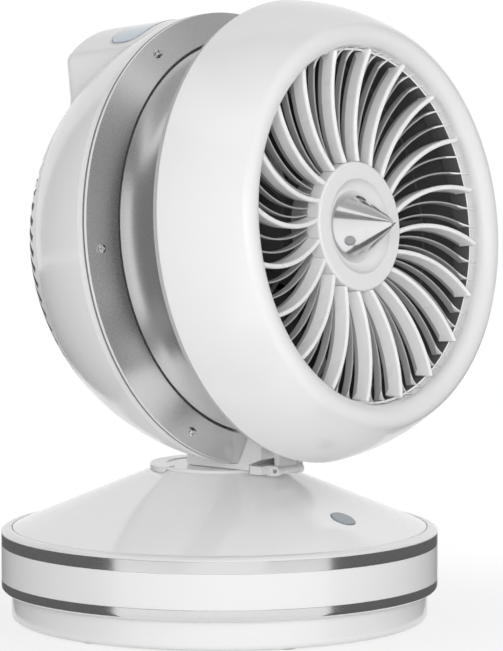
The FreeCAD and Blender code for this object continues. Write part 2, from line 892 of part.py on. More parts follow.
def make_apron():
    """Rear part of the turntable's top that runs out over the cone."""
    land = d.cone_top_radius + d.rim_land
    slope = d.cone_rise / (seam_radius - land)
    rim_level = tongue_bottom - (d.apron_radius - land) * slope + 0.1
    inner = table_radius - 6.0
    top = table_top + d.apron_rise
    ring = turned("apron_ring", [
        (inner, tongue_bottom + 0.2),
        (land, tongue_bottom + 0.1),
        (d.apron_radius, rim_level),
        (d.apron_radius, top - d.apron_rise),
        (d.apron_radius - d.apron_rise, top),
        (inner, top),
    ])
    spread = 2 * d.apron_radius + 4.0
    corner = Vector(-(d.apron_radius + 2.0).value, d.apron_front.value - spread.value, rim_level.value - 1.0)
    front = primitive("Part::Box", "apron_front_half", Placement(corner, Rotation()),
                      Length=spread, Width=spread, Height=10.0)
    return joined("Part::Cut", "apron", ring, front)


def make_turntable():
    body = new_body("turntable_disc")
    turn(body, "table_turn", [
        (d.spindle_bore, spindle_foot),
        (d.spindle_radius, spindle_foot),
        (d.spindle_radius, table_bottom),
        (table_radius, table_bottom),
        (table_radius, table_top - d.table_round, "left", d.table_round),
        (table_radius - d.table_round, table_top),
        (d.spindle_bore, table_top),
    ])
    front = size(-1) * d.block_front
    pad_back = front + d.block_relief - 1.0
    raised(body, "tongue", lambda s: block(s, -1 * d.tongue_half, front, d.tongue_half, size(-30)),
           tongue_bottom, table_top - tongue_bottom)
    raised(body, "hinge_pad", lambda s: block(s, -1 * d.block_half, front, d.block_half, pad_back),
           tongue_bottom, pad_top - tongue_bottom)
    groove = spindle_foot + d.clip_land
    turn(body, "clip_groove", [
        (d.spindle_radius - 0.6, groove),
        (d.spindle_radius + 1.0, groove),
        (d.spindle_radius + 1.0, groove + d.flange_thick),
        (d.spindle_radius - 0.6, groove + d.flange_thick),
    ], "PartDesign::Groove")
    ears = []
    for side in (-1, 1):
        start = d.ear_inner.value if side > 0 else -(d.ear_inner + d.ear_width).value
        axis_spot = Vector(start, -d.tilt_reach.value, tilt_level.value)
        ears.append(primitive("Part::Cylinder", f"ear_round_{side + 1}", towards(axis_spot, Vector(1, 0, 0)),
                              Radius=d.ear_radius, Height=d.ear_width))
        arm_spot = Vector(start, -d.tilt_reach.value, (tilt_level - d.ear_radius).value)
        ears.append(primitive("Part::Box", f"ear_arm_{side + 1}", Placement(arm_spot, Rotation()),
                              Length=d.ear_width, Width=d.tilt_reach - d.block_front + 2.0, Height=2 * d.ear_radius))
    whole = together("Part::MultiFuse", "turntable_whole", [body, make_apron()] + ears)
    reach = (d.ear_inner + d.ear_width).value + 2.0
    bore_spot = towards(Vector(reach, -d.tilt_reach.value, tilt_level.value), Vector(1, 0, 0))
    bore = holes("ear_bore", [bore_spot], d.pin_radius, 2 * reach)
    node(joined("Part::Cut", "turntable", whole, bore), "turntable")


def make_retaining_clip():
    inner = d.spindle_radius - 0.6 + d.running_gap
    body = turned("retaining_clip", [
        (inner, spindle_foot + d.clip_land + d.running_gap),
        (bush_radius, spindle_foot + d.clip_land + d.running_gap),
        (bush_radius, spindle_foot + d.clip_land + d.flange_thick - d.running_gap),
        (inner, spindle_foot + d.clip_land + d.flange_thick - d.running_gap),
    ])
    sunk(body, "clip_mouth", lambda s: block(s, 0, -7, bush_radius + 2, 7), spindle_foot + 5.0, 8.0)
    node(body, "retaining_clip")


def make_tilt_pin():
    half = d.ear_inner + d.ear_width + 1.0
    spot = Vector(-half.value, -d.tilt_reach.value, tilt_level.value)
    node(primitive("Part::Cylinder", "tilt_pin", towards(spot, Vector(1, 0, 0)),
                   Radius=d.pin_radius, Height=2 * half), "tilt_pin")


# Head shells


def dome_fill(name, grow):
    """The dome filled solid, its surface moved out by grow."""
    grow = size(grow)
    body = turned(name, [
        (0, d.rim_front),
        (d.head_radius + grow, d.rim_front),
        (d.head_radius + grow, d.dome_front, "right", d.dome_bend + grow),
        (grille_radius + grow * 0.8, -1 * d.grille_back - grow * 0.6, "right", d.grille_bend + grow),
        (0, grille_centre - d.grille_bend - grow),
    ])
    return body


def make_dome_shell():
    inside = d.head_radius - d.wall
    seat = d.ledge_depth - d.grille_back
    lip = d.head_radius - d.rim_groove_depth
    return turned("dome_shell", [
        (d.head_radius, groove_back),
        (lip, groove_back),
        (lip, d.rim_front),
        (inside - d.rim_groove_depth, d.rim_front),
        (inside - d.rim_groove_depth, bulkhead_front),
        (d.bulkhead_inner, bulkhead_front),
        (d.bulkhead_inner, bulkhead_front - d.wall),
        (inside, bulkhead_front - d.wall, "left", d.dome_bend - d.wall),
        (grille_radius + 3.0, seat + d.wall),
        (grille_radius - d.ledge_width, seat + d.wall),
        (grille_radius - d.ledge_width, seat),
        (grille_radius, seat),
        (grille_radius, -1 * d.grille_back, "left", d.dome_bend),
        (d.head_radius, d.dome_front),
    ])


def pod_form(name, grow, front):
    """The control pod's outer block, every face moved out by grow."""
    grow = size(grow)
    crown = d.pod_crown + grow
    half = d.pod_half + grow
    side = pod_centre + root(crown * crown - half * half)
    body = new_body(name)
    form = raised(body, name + "_pad", lambda s: outline(s, [
        (-1 * half, 60),
        (half, 60),
        (half, side, "left", crown),
        (-1 * half, side),
    ]), -1 * d.pod_back - grow, front + d.pod_back + grow)
    back = -d.pod_back.value - grow.value
    shoulder = side.value

    def soft(centre, edge):
        on_back = abs(centre.z - back) < 0.1 and centre.y > 62
        on_shoulder = abs(abs(centre.x) - half.value) < 0.1 and abs(centre.y - shoulder) < 0.5
        return on_back or on_shoulder

    rounded(body, form, d.pod_round + grow, soft)
    return body


def window_prism(name, grow, top, height):
    """Rounded rectangle of the display, standing along the head's up direction."""
    half = d.window_half + grow
    front = size(grow) - d.window_front
    back = size(-1) * d.window_back - grow
    body = new_body(name)
    sketch = sketch_on(body, "XZ_Plane", name + "_sketch", size(-1) * top)
    r = d.window_round
    outline(sketch, [
        (-1 * half, back + r, "left", r), (r - half, back),
        (half - r, back, "left", r), (half, back + r),
        (half, front - r, "left", r), (half - r, front),
        (r - half, front, "left", r), (-1 * half, front - r),
    ])
    feature = body.newObject("PartDesign::Pad", name + "_pad")
    feature.Profile = sketch
    feature.Length = height
    return body


def band_normal():
    """Unit vector square to the silver ring's slope, as (outward, forward)."""
    length = math.hypot(d.ring_rise.value, d.ring_width.value)
    return d.ring_rise.value / length, d.ring_width.value / length


def ring_screw_places(sink=0.0):
    """Seats of the ring screws on the sloping band, sink below its face."""
    outward, forward = band_normal()
    radius = d.head_radius.value - d.ring_screw_inset.value
    level = (d.rim_front + d.ring_rim + d.ring_screw_inset * d.ring_rise / d.ring_width).value
    places = []
    for i in range(int(d.ring_screws.value)):
        angle = math.radians(30 + 360 * i / d.ring_screws.value)
        radial = Vector(math.sin(angle), math.cos(angle), 0)
        normal = radial * outward + Vector(0, 0, forward)
        places.append(towards(radial * radius + Vector(0, 0, level) - normal * sink, normal))
    return places


def make_rear_housing():
    pod = joined("Part::Cut", "pod_skin", pod_form("pod_outer", 0, d.dome_front), dome_fill("dome_core", -1 * d.wall))
    outward, forward = band_normal()
    plate = d.ring_plate.value
    seats = ring_screw_places(plate)
    reach = (seats[0].Base.z - bulkhead_front.value + d.wall.value) / forward
    ring_bosses = [primitive("Part::Cylinder", f"ring_boss_{i}",
                             Placement(s.Base - s.Rotation.multVec(Vector(0, 0, reach)), s.Rotation),
                             Radius=3.5, Height=reach)
                   for i, s in enumerate(seats)]
    whole = together("Part::MultiFuse", "housing_whole", [make_dome_shell(), pod] + ring_bosses)
    room = pod_form("pod_room", -1 * d.wall, bulkhead_front - d.wall - 1.0)
    opened = joined("Part::Cut", "housing_opened", whole, room)
    crown = pod_centre + d.pod_crown - 1.0
    posts = [primitive("Part::Cylinder", f"display_post_{i}", towards(Vector(x, y, z), Vector(0, 1, 0)),
                       Radius=3.0, Height=crown - 4.0 - size(y))
             for i, (x, y, z) in enumerate(display_posts())]
    posted = together("Part::MultiFuse", "housing_posted", [opened] + posts)
    trimmed = joined("Part::Common", "housing_trimmed", posted, together(
        "Part::MultiFuse", "housing_limit", [dome_fill("dome_limit", 0), pod_form("pod_limit", 0, d.dome_front)]
        + [primitive("Part::Cylinder", "front_limit", Placement(Vector(0, 0, 0), Rotation()),
                     Radius=d.head_radius, Height=ring_front)]))
    drills = holes("ring_boss_holes", ring_screw_places(), d.screw_radius, 9.0)
    window = window_prism("window_hole", d.fit_gap, d.pod_side + 40, 40.0)
    cuts = together("Part::Compound", "housing_cuts", [drills, window])
    node(joined("Part::Cut", "rear_housing", trimmed, cuts), "rear_housing", in_head)


def display_posts():
    """Ends of the posts that hang from the pod's roof and carry the display board."""
    level = d.pod_side.value + 4.0
    front = -d.window_front.value + 5.0
    back = -d.window_back.value - 5.0
    return [(x, level, z) for x in (-20.0, 20.0) for z in (front, back)]


def make_display():
    shell_out = pod_form("window_skin", 0.2, d.dome_front)
    shell_in = pod_form("window_core", 0.2 - d.window_thick, d.dome_front)
    skin = joined("Part::Cut", "window_shell", shell_out, shell_in)
    prism = window_prism("window_blank", 0, d.pod_side + 40, 40.0)
    node(joined("Part::Common", "display_window", skin, prism), "display_window", in_head)

    body = new_body("display_board")
    sketch = sketch_on(body, "XZ_Plane", "display_board_sketch", size(-1) * (d.pod_side + 4.0))
    block(sketch, -26, size(-1) * d.window_back - 8.0, 26, 8.0 - d.window_front)
    pad = body.newObject("PartDesign::Pad", "display_board_pad")
    pad.Profile = sketch
    pad.Length = d.board_thick.value
    pad.setExpression("Length", d.board_thick.text)
    node(body, "display_board", in_head)


def make_rear_grille():
    outer = grille_radius - d.fit_gap
    seat = d.ledge_depth - d.grille_back
    inner_bend = d.grille_bend - d.grille_thick
    skirt = outer - d.grille_thick
    skin_level = grille_centre - root(d.grille_bend * d.grille_bend - outer * outer)
    core_level = grille_centre - root(inner_bend * inner_bend - skirt * skirt)
    body = turned("grille_cap", [
        (0, grille_centre - d.grille_bend, "left", d.grille_bend),
        (outer, skin_level),
        (outer, seat),
        (skirt, seat),
        (skirt, core_level, "right", inner_bend),
        (0, grille_centre - inner_bend),
    ])
    bands = ((111.0, 84.0, d.grille_slots), (80.0, 56.0, d.grille_slots * 2 / 3), (52.0, 30.0, d.grille_slots / 3))
    clear = pod_form("pod_clear", d.move_gap, d.dome_front)
    for i, (far, near, count) in enumerate(bands):
        make_slots(body, f"slots_{i}", far, near, count)
    node(joined("Part::Cut", "rear_grille", body, clear), "rear_grille", in_head)


def make_slots(body, name, far, near, count):
    """One ring of slanted slots through the grille, repeated round the axis."""
    slant = d.slot_slant
    length = (far - near) / math.cos(math.radians(slant.value)) - d.slot_width.value
    middle = (far + near) / 2
    along = (cosine(slant) * (length / 2), sine(slant) * (length / 2))
    across = (sine(slant) * d.slot_width / -2, cosine(slant) * d.slot_width / 2)
    corners = []
    for end, side in ((-1, -1), (1, -1), (1, 1), (-1, 1)):
        x = middle + along[0] * end + across[0] * side
        y = along[1] * end + across[1] * side
        corners.append((x, y))
    slot = sunk(body, name, lambda s: outline(s, corners), ZERO, d.grille_bend)
    around(body, [slot], count)


def make_ring_plate():
    shoulder = d.rim_front + d.ring_rim
    thick = d.ring_plate
    body = turned("ring_band", [
        (d.head_radius - thick, ring_back),
        (d.head_radius, ring_back),
        (d.head_radius, shoulder),
        (ring_inner, ring_front),
        (ring_inner - thick, ring_front),
        (ring_inner - thick, ring_front - d.ring_lip),
        (ring_inner, ring_front - d.ring_lip),
        (ring_inner, ring_front - thick * 1.2),
        (d.head_radius - thick, shoulder - thick * 0.3),
    ])
    half = d.block_half + d.move_gap * 2
    notch = sunk(body, "ring_notch", lambda s: block(s, -1 * half, -1 * d.head_radius - 5, half, -60),
                 ring_front + 5, ring_front)
    drills = holes("ring_holes", ring_screw_places(-1.0), d.screw_radius + d.fit_gap, 6.0)
    node(joined("Part::Cut", "ring_plate", body, drills), "ring_plate", in_head)
    screw_group("ring_screws", ring_screw_places(-0.05), 8.0, in_head)


def duct_outline(grow):
    """Outer line of the duct: skirt, cove and tube, moved out by grow."""
    grow = size(grow)
    bow = d.cove_bend - grow
    skirt = skirt_radius + grow
    rise = cove_centre - skirt
    start = d.cove_end - root(bow * bow - rise * rise)
    return skirt, start, bow


def make_duct():
    skirt, start, bow = duct_outline(0)
    inner_skirt, inner_start, inner_bow = duct_outline(-1 * d.wall)
    body = turned("duct_tube", [
        (skirt, bulkhead_front),
        (skirt, start, "right", bow),
        (tube_radius, d.cove_end),
        (tube_radius, d.tube_front),
        (tube_bore, d.tube_front),
        (tube_bore, d.cove_end, "left", inner_bow),
        (inner_skirt, inner_start),
        (inner_skirt, bulkhead_front),
    ])
    drills = holes("duct_holes", block_screw_places(), d.screw_radius + d.fit_gap, 5.0)
    node(joined("Part::Cut", "duct", body, drills), "duct", in_head)


def make_front_shroud():
    reach = d.shroud_bend - d.lip_bend
    across = d.lip_at - d.shroud_centre
    fall = root(reach * reach - across * across)
    crown = lip_centre - fall

    def skin(inset):
        bow = d.shroud_bend - inset
        lip = d.lip_bend - inset
        edge_level = d.shroud_back + d.shroud_edge
        edge = crown + root(bow * bow - (edge_level - d.shroud_centre) * (edge_level - d.shroud_centre))
        meet = (lip_centre + lip * fall / reach, d.lip_at + lip * across / reach)
        return edge, edge_level, bow, meet, lip

    edge, edge_level, bow, meet, lip = skin(ZERO)
    in_edge, _, in_bow, in_meet, in_lip = skin(d.wall)
    liner_front = d.lip_at - d.lip_bend
    node(turned("front_shroud", [
        (edge - d.shroud_edge, d.shroud_back - d.collar_length),
        (edge - d.shroud_edge, d.shroud_back),
        (edge - d.shroud_edge * 0.5, d.shroud_back, "left", d.shroud_edge),
        (edge, edge_level, "left", bow),
        (meet[0], meet[1], "left", lip),
        (outlet_radius, d.lip_at),
        (outlet_radius, liner_front),
        (tube_bore, d.tube_front),
        (tube_radius, d.tube_front),
        (outlet_radius + d.wall, liner_front),
        (outlet_radius + d.wall, d.lip_at, "right", in_lip),
        (in_meet[0], in_meet[1], "right", in_bow),
        (in_edge, edge_level),
        (in_edge, d.shroud_back - d.collar_length),
    ]), "front_shroud", in_head)


# Outlet vanes, hub and nose


def add_vane(body, name, thick, depth, front, turn_by):
    """Sweep one bowed vane from inside the hub ring to inside the rim."""
    start = d.hub_radius - d.hub_wall / 2
    run = outlet_radius - d.move_gap - d.rim_wall / 2 - start
    rise = d.vane_rise
    length = root(run * run + rise * rise)
    half = length / 2
    bow = (half * half + d.vane_bow * d.vane_bow) / (d.vane_bow * 2)
    slope = math.degrees(math.atan2(rise.value, run.value))
    spin = Rotation(Vector(0, 0, 1), turn_by)
    rim_start = spin.multVec(Vector(start.value, 0, 0)) + Vector(0, 0, front.value)

    path = sketch_on(body, "XY_Plane", name + "_path")
    path.AttachmentOffset = Placement(rim_start, spin * Rotation(Vector(0, -1, 0), slope))
    path.setExpression("AttachmentOffset.Base.z", front.text)
    outline(path, [(0, 0, "right", bow), (length, 0)], closed=False)

    section = sketch_on(body, "XY_Plane", name + "_section")
    stand = Rotation(Vector(0, 1, 0), Vector(0, 0, 1), Vector(1, 0, 0), "ZXY")
    lean = Rotation(Vector(0, 0, -1), d.vane_pitch.value)
    section.AttachmentOffset = Placement(rim_start, spin * stand * lean)
    section.setExpression("AttachmentOffset.Base.z", front.text)
    half_thick = thick / 2
    outline(section, [
        (-1 * half_thick, -1 * depth),
        (half_thick, -1 * depth),
        (half_thick, -1 * half_thick, "left", half_thick * 1.02),
        (-1 * half_thick, -1 * half_thick),
    ])
    vane = body.newObject("PartDesign::AdditivePipe", name)
    vane.Profile = section
    vane.Spine = (path, ["Edge1"])
    return vane


def make_outlet_vanes():
    body = new_body("outlet_vanes")
    hub_top = hub_front - d.cap_thick
    inner = d.hub_radius - d.hub_wall
    turn(body, "vane_hub", [
        (inner, hub_top - d.hub_depth),
        (d.hub_radius, hub_top - d.hub_depth),
        (d.hub_radius, hub_top),
        (inner, hub_top),
    ])
    vane_front = hub_front - d.vane_set
    pitch = 360.0 / d.vane_count.value
    phase = d.vane_phase.value
    blades = [add_vane(body, "vane", d.vane_thick, d.vane_depth, vane_front, phase)]
    for i in (1, 2):
        turn_by = phase + i * pitch / 3
        blades.append(add_vane(body, f"slat_{i}", d.slat_thick, d.slat_depth, vane_front - d.slat_set, turn_by))
    around(body, blades, d.vane_count)
    rim_top = d.lip_at - d.rim_set
    rim_out = outlet_radius - d.move_gap
    turn(body, "vane_rim", [
        (rim_out - d.rim_wall, rim_top - d.rim_depth),
        (rim_out, rim_top - d.rim_depth),
        (rim_out, rim_top),
        (rim_out - d.rim_wall, rim_top),
    ])
    turn(body, "cap_seat", [
        (0, hub_top),
        (d.hub_radius + d.fit_gap, hub_top),
        (d.hub_radius + d.fit_gap, hub_top + d.hub_depth),
        (0, hub_top + d.hub_depth),
    ], "PartDesign::Groove")
    node(body, "outlet_vanes", in_head)


def make_hub_cap():
    back = hub_front - d.cap_thick
    plug = d.hub_radius - d.hub_wall - d.fit_gap
    well = d.cone_radius + 7.0
    node(turned("hub_cap", [
        (0, back - 5.0),
        (plug, back - 5.0),
        (plug, back),
        (d.hub_radius, back),
        (d.hub_radius, hub_front - 1.6, "left", 1.6),
        (d.hub_radius - 1.6, hub_front),
        (well, hub_front, "right", 1.3 * d.dish_depth),
        (d.cone_radius, hub_front - d.dish_depth),
        (0, hub_front - d.dish_depth),
    ]), "hub_cap", in_head)


def make_nose_cone():
    foot = hub_front - d.dish_depth
    body = turned("nose_blank", [
        (0, foot),
        (d.cone_radius, foot),
        (0, foot + d.cone_length),
    ])
    lean = math.hypot(d.cone_radius.value, d.cone_length.value)
    outward = d.cone_length.value / lean
    forward = d.cone_radius.value / lean
    share = d.dimple_rise.value / d.cone_length.value
    places = []
    for i in range(int(d.dimple_count.value)):
        angle = math.radians(240 + 360 * i / d.dimple_count.value)
        radial = Vector(math.sin(angle), math.cos(angle), 0)
        spot = radial * d.cone_radius.value * (1 - share) + Vector(0, 0, foot.value + share * d.cone_length.value)
        normal = radial * outward + Vector(0, 0, forward)
        places.append(towards(spot + normal * 3.0, normal))
    dimples = holes("nose_dimples", places, d.dimple_radius, 3.0 + d.dimple_depth.value)
    node(joined("Part::Cut", "nose_cone", body, dimples), "nose_cone", in_head)


# Fan motor and rotor


def make_fan_motor():
    front = d.motor_back + d.motor_length
    shaft = d.shaft_radius + 1.0
    boss = d.bearing_radius + 3.0
    node(turned("fan_motor", [
        (shaft, d.motor_back),
        (d.bearing_radius, d.motor_back),
        (d.bearing_radius, d.motor_back - d.bearing_width),
        (boss, d.motor_back - d.bearing_width),
        (boss, d.motor_back),
        (d.motor_radius - 3.0, d.motor_back, "left", 3.0),
        (d.motor_radius, d.motor_back + 3.0),
        (d.motor_radius, front - 3.0, "left", 3.0),
        (d.motor_radius - 3.0, front),
        (boss, front),
        (boss, front + d.bearing_width),
        (d.bearing_radius, front + d.bearing_width),
        (d.bearing_radius, front),
        (shaft, front),
    ]), "fan_motor", in_head)


def make_motor_bearings():
    inner = d.shaft_radius + d.running_gap
    rings = []
    for i, level in enumerate((d.motor_back - d.bearing_width, d.motor_back + d.motor_length)):
        rings.append(turned(f"bearing_{i}", [
            (inner, level),
            (d.bearing_radius, level),
            (d.bearing_radius, level + d.bearing_width),
            (inner, level + d.bearing_width),
        ]))
    node(together("Part::Compound", "motor_bearings", rings), "motor_bearings", in_head)


def make_motor_mount():
    body = new_body("motor_mount")
    cup = d.motor_radius + d.fit_gap
    cup_out = cup + d.wall
    turn(body, "mount_cup_ring", [
        (cup, d.mount_back),
        (cup_out, d.mount_back),
        (cup_out, d.mount_back + d.mount_cup),
        (cup, d.mount_back + d.mount_cup),
    ])
    rim = tube_bore - d.move_gap
    strut = raised(body, "strut", lambda s: block(s, cup + d.wall / 2, d.strut_thick / -2,
                                                  rim - d.wall / 2, d.strut_thick / 2),
                   d.mount_back, d.mount_cup)
    around(body, [strut], d.strut_count)
    turn(body, "mount_rim", [
        (rim - d.wall, d.mount_back),
        (rim, d.mount_back),
        (rim, d.mount_back + d.mount_cup),
        (rim - d.wall, d.mount_back + d.mount_cup),
    ])
    node(body, "motor_mount", in_head)


def blade_section(body, name, at, chord, angle):
    """Cambered blade section on a plane square to the radius."""
    middle = d.rotor_back + d.rotor_length / 2
    sketch = sketch_on(body, "YZ_Plane", name, at)
    along = (sine(angle) * chord / 2, cosine(angle) * chord / 2)
    across = (cosine(angle) * d.blade_thick / 2, sine(angle) * d.blade_thick / -2)
    corners = []
    for end, side in ((-1, -1), (-1, 1), (1, 1), (1, -1)):
        corners.append((along[0] * end + across[0] * side, middle + along[1] * end + across[1] * side))
    bow = chord * 1.1
    corners[1] = corners[1] + ("right", bow)
    corners[3] = corners[3] + ("left", bow + d.blade_thick)
    outline(sketch, corners)
    return sketch


def make_impeller():
    body = new_body("impeller")
    front = d.rotor_back + d.rotor_length
    bore = d.shaft_radius
    turn(body, "rotor_hub_turn", [
        (bore, d.rotor_back),
        (d.rotor_hub - 12.0, d.rotor_back, "left", 14.0),
        (d.rotor_hub, d.rotor_back + 12.0),
        (d.rotor_hub, front),
        (d.rotor_hub - d.wall, front),
        (d.rotor_hub - d.wall, d.rotor_back + 12.0),
        (bore + d.wall * 2, d.rotor_back + 8.0),
        (bore + d.wall * 2, front - 4.0),
        (bore, front - 4.0),
    ])
    root_sketch = blade_section(body, "blade_root", d.rotor_hub - 2.0, d.blade_root_chord, d.blade_root_angle)
    tip_sketch = blade_section(body, "blade_tip", blade_tip, d.blade_tip_chord, d.blade_tip_angle)
    blade = body.newObject("PartDesign::AdditiveLoft", "blade")
    blade.Profile = root_sketch
    blade.Sections = [tip_sketch]
    around(body, [blade], d.blade_count)
    node(body, "impeller", in_head)


def make_motor_shaft():
    start = d.rotor_back - d.nut_length
    length = d.motor_back + d.motor_length + d.bearing_width - start
    shaft = turned("motor_shaft", [
        (0, start),
        (d.shaft_radius, start),
        (d.shaft_radius, start + length),
        (0, start + length),
    ])
    node(shaft, "motor_shaft", in_head)
    node(turned("impeller_nut", [
        (d.shaft_radius, d.rotor_back - d.nut_length),
        (d.nut_radius - 2.5, d.rotor_back - d.nut_length, "left", 3.0),
        (d.nut_radius, d.rotor_back - d.nut_length + 3.0),
        (d.nut_radius, d.rotor_back),
        (d.shaft_radius, d.rotor_back),
    ]), "impeller_nut", in_head)


# Block that carries the head on the tilt hinge


def block_screw_places():
    """Screws inside the duct that hold the neck block, square to the cove where it starts."""
    _, start, bow = duct_outline(-1 * d.wall)
    level = start.value + 3.0
    back = level - d.cove_end.value
    down = math.sqrt(bow.value ** 2 - back ** 2)
    radius = cove_centre.value - down
    places = []
    for side in (-1, 1):
        angle = side * d.block_half.value / 2 / radius
        radial = Vector(math.sin(angle), -math.cos(angle), 0)
        inward = radial * (-down / bow.value) + Vector(0, 0, back / bow.value)
        places.append(towards(radial * radius + Vector(0, 0, level) + inward * 0.1, inward))
    return places


def make_neck_block():
    bottom = table_top + d.move_gap
    length = d.block_front + d.block_back
    box_spot = Vector(-d.block_half.value, -d.block_front.value, bottom.value)
    box = primitive("Part::Box", "block_blank", Placement(box_spot, Rotation()),
                    Length=2 * d.block_half, Width=length, Height=60.0)
    half = d.ear_inner - d.move_gap
    knuckle_spot = Vector(-half.value, -d.tilt_reach.value, tilt_level.value)
    knuckle = primitive("Part::Cylinder", "block_knuckle", towards(knuckle_spot, Vector(1, 0, 0)),
                        Radius=d.knuckle_radius, Height=2 * half)
    step = pad_top + d.move_gap + 0.1
    web_spot = Vector(-half.value, -d.tilt_reach.value, tilt_level.value)
    web_rise = step + d.block_relief_rise - tilt_level + 3.0
    web = primitive("Part::Box", "block_web", Placement(web_spot, Rotation()), Length=2 * half,
                    Width=d.tilt_reach - d.block_front - 2 * d.move_gap, Height=web_rise)
    brow_spot = Vector(-half.value, -d.tilt_reach.value, (step + d.block_relief_rise + 0.5).value)
    brow = primitive("Part::Box", "block_brow", Placement(brow_spot, Rotation()), Length=2 * half,
                     Width=d.tilt_reach - d.block_front + 2.0, Height=2.5)
    relief = new_body("block_relief")
    sketch = sketch_on(relief, "YZ_Plane", "block_relief_sketch", -1 * d.block_half - 1.0)
    outline(sketch, [
        (d.block_relief - d.block_front, step),
        (-1 * d.block_front - 1.0, step + d.block_relief_rise),
        (-1 * d.block_front - 1.0, bottom - 1.0),
        (d.block_relief - d.block_front, bottom - 1.0),
    ])
    wedge = relief.newObject("PartDesign::Pad", "block_relief_pad")
    wedge.Profile = sketch
    wedge.Length = (2 * d.block_half + 2.0).value
    wedge.setExpression("Length", (2 * d.block_half + 2.0).text)
    eased = joined("Part::Cut", "block_eased", box, relief)
    whole = together("Part::MultiFuse", "block_whole", [eased, knuckle, web, brow])
    grow = size(0.05)
    dome = dome_fill("block_dome", grow)
    skirt, start, bow = duct_outline(grow)
    tube = turned("block_tube", [
        (0, d.rim_front - 10.0),
        (skirt, d.rim_front - 10.0),
        (skirt, start, "right", bow),
        (tube_radius + grow, d.cove_end),
        (tube_radius + grow, d.tube_front),
        (0, d.tube_front),
    ])
    for tool in (dome, tube):
        in_head(tool)
    bored = together("Part::MultiFuse", "block_hollow", [dome, tube])
    shaped = joined("Part::Cut", "block_shaped", whole, bored)
    reach = half.value + 2.0
    bore_spot = towards(Vector(reach, -d.tilt_reach.value, tilt_level.value), Vector(1, 0, 0))
    bore = holes("knuckle_bore", [bore_spot], d.pin_radius + d.running_gap, 2 * reach)
    pilots = holes("block_pilots", block_screw_places(), d.screw_radius, 9.0)
    in_head(pilots)
    cuts = together("Part::Compound", "block_cuts", [bore, pilots])
    node(joined("Part::Cut", "neck_block", shaped, cuts), "neck_block")
    screw_group("block_screws", block_screw_places(), 8.0, in_head)


def build():
    for make in (make_foot_ring, make_rubber_feet, make_floor_plate, make_lower_trim, make_base_drum,
                 make_upper_trim, make_shoulder_ring, make_cone_cover, make_receiver_lens, make_ballast_ring,
                 make_cord_gland, make_chassis, make_base_screws, make_bushes, make_swing_motor, make_gears,
                 make_control_board, make_turntable, make_retaining_clip, make_tilt_pin, make_rear_housing,
                 make_display, make_rear_grille, make_ring_plate, make_duct, make_front_shroud,
                 make_outlet_vanes, make_hub_cap, make_nose_cone, make_fan_motor, make_motor_bearings,
                 make_motor_mount, make_impeller, make_motor_shaft, make_neck_block):
        make()
    doc.recompute()


def check():
    """Stop if any object failed or any sub-part is not a sound solid."""
    failed = [obj.Name for obj in doc.Objects if "Invalid" in obj.State or "Error" in obj.State]
    if failed:
        raise RuntimeError(f"failed objects: {failed}")
    for obj in nodes:
        shape = obj.Shape
        if shape.isNull() or not shape.isValid() or not shape.Solids:
            raise RuntimeError(f"{obj.Label} has no sound shape")


def export():
    os.makedirs("parts", exist_ok=True)
    for obj in nodes:
        obj.Shape.exportStep(f"parts/{obj.Label}.step")
        print(f"{obj.Label}: {len(obj.Shape.Solids)} solids, {obj.Shape.Volume / 1000:.1f} cm3")


build()
check()
export()
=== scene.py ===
import math

import bmesh
import bpy
from bpy.props import FloatProperty, FloatVectorProperty, PointerProperty
from mathutils import Matrix, Vector


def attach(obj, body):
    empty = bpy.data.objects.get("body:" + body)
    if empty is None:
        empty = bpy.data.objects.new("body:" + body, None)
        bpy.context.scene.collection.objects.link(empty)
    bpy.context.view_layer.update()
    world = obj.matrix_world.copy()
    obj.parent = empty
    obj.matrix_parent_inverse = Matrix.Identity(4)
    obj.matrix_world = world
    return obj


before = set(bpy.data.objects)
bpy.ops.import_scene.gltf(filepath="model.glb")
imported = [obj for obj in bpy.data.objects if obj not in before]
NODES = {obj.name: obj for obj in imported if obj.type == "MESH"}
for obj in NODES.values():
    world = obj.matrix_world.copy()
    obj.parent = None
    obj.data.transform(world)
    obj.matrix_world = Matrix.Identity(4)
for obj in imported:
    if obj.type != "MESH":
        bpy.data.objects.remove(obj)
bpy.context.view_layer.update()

bl_info = {
    "name": "Turbine table fan",
    "version": (1, 0, 0),
    "blender": (4, 5, 0),
    "location": "View3D > Sidebar > Fan",
    "description": "Dresses the packed table fan with its finishes, small pieces and a studio",
    "category": "Object",
}

# The tilted head in the shared frame: its tilt, its middle, and its forward, up and side directions
HEAD_TILT = math.radians(6.7)
HEAD_ORIGIN = Vector((0, 0, 0.2345055))
HEAD_FORWARD = Vector((0, -math.cos(HEAD_TILT), math.sin(HEAD_TILT)))
HEAD_UP = Vector((0, math.sin(HEAD_TILT), math.cos(HEAD_TILT)))
HEAD_SIDE = Vector((1, 0, 0))

# Places along the head axis, in metres forward of its middle
LINER_END = 0.1095  # front end of the shroud's dark lining, which is painted shade
COLLAR_END = 0.0719  # front end of the shroud's narrow collar
RIM_GROOVE = 0.0131  # rear end of the housing's groove behind the silver ring

# Distances from the head axis, in metres
VANE_RIM = 0.1045  # least distance of the ring that joins the vanes' outer ends
BAND_EDGE = 0.1376  # least distance of the silver ring's white lip
ON_AXIS = 0.001  # nearer than this, a face looks neither away from the axis nor towards it

# Limits on how a face looks: 1 is straight away from the axis or the cap's middle, -1 straight to it
INWARD, FULLY_INWARD = -0.25, -0.95
SLOT_WALL = 0.7

# Outer arcs of the dome and the grille's cap: where they meet, their radii and middles along the axis,
# and how far the dome's middle lies beyond the axis
GRILLE_EDGE = -0.046
DOME_BEND, DOME_MIDDLE, DOME_DROP = 0.15, 0.0378, 0.0089
GRILLE_BEND, GRILLE_MIDDLE = 0.1385, 0.0304

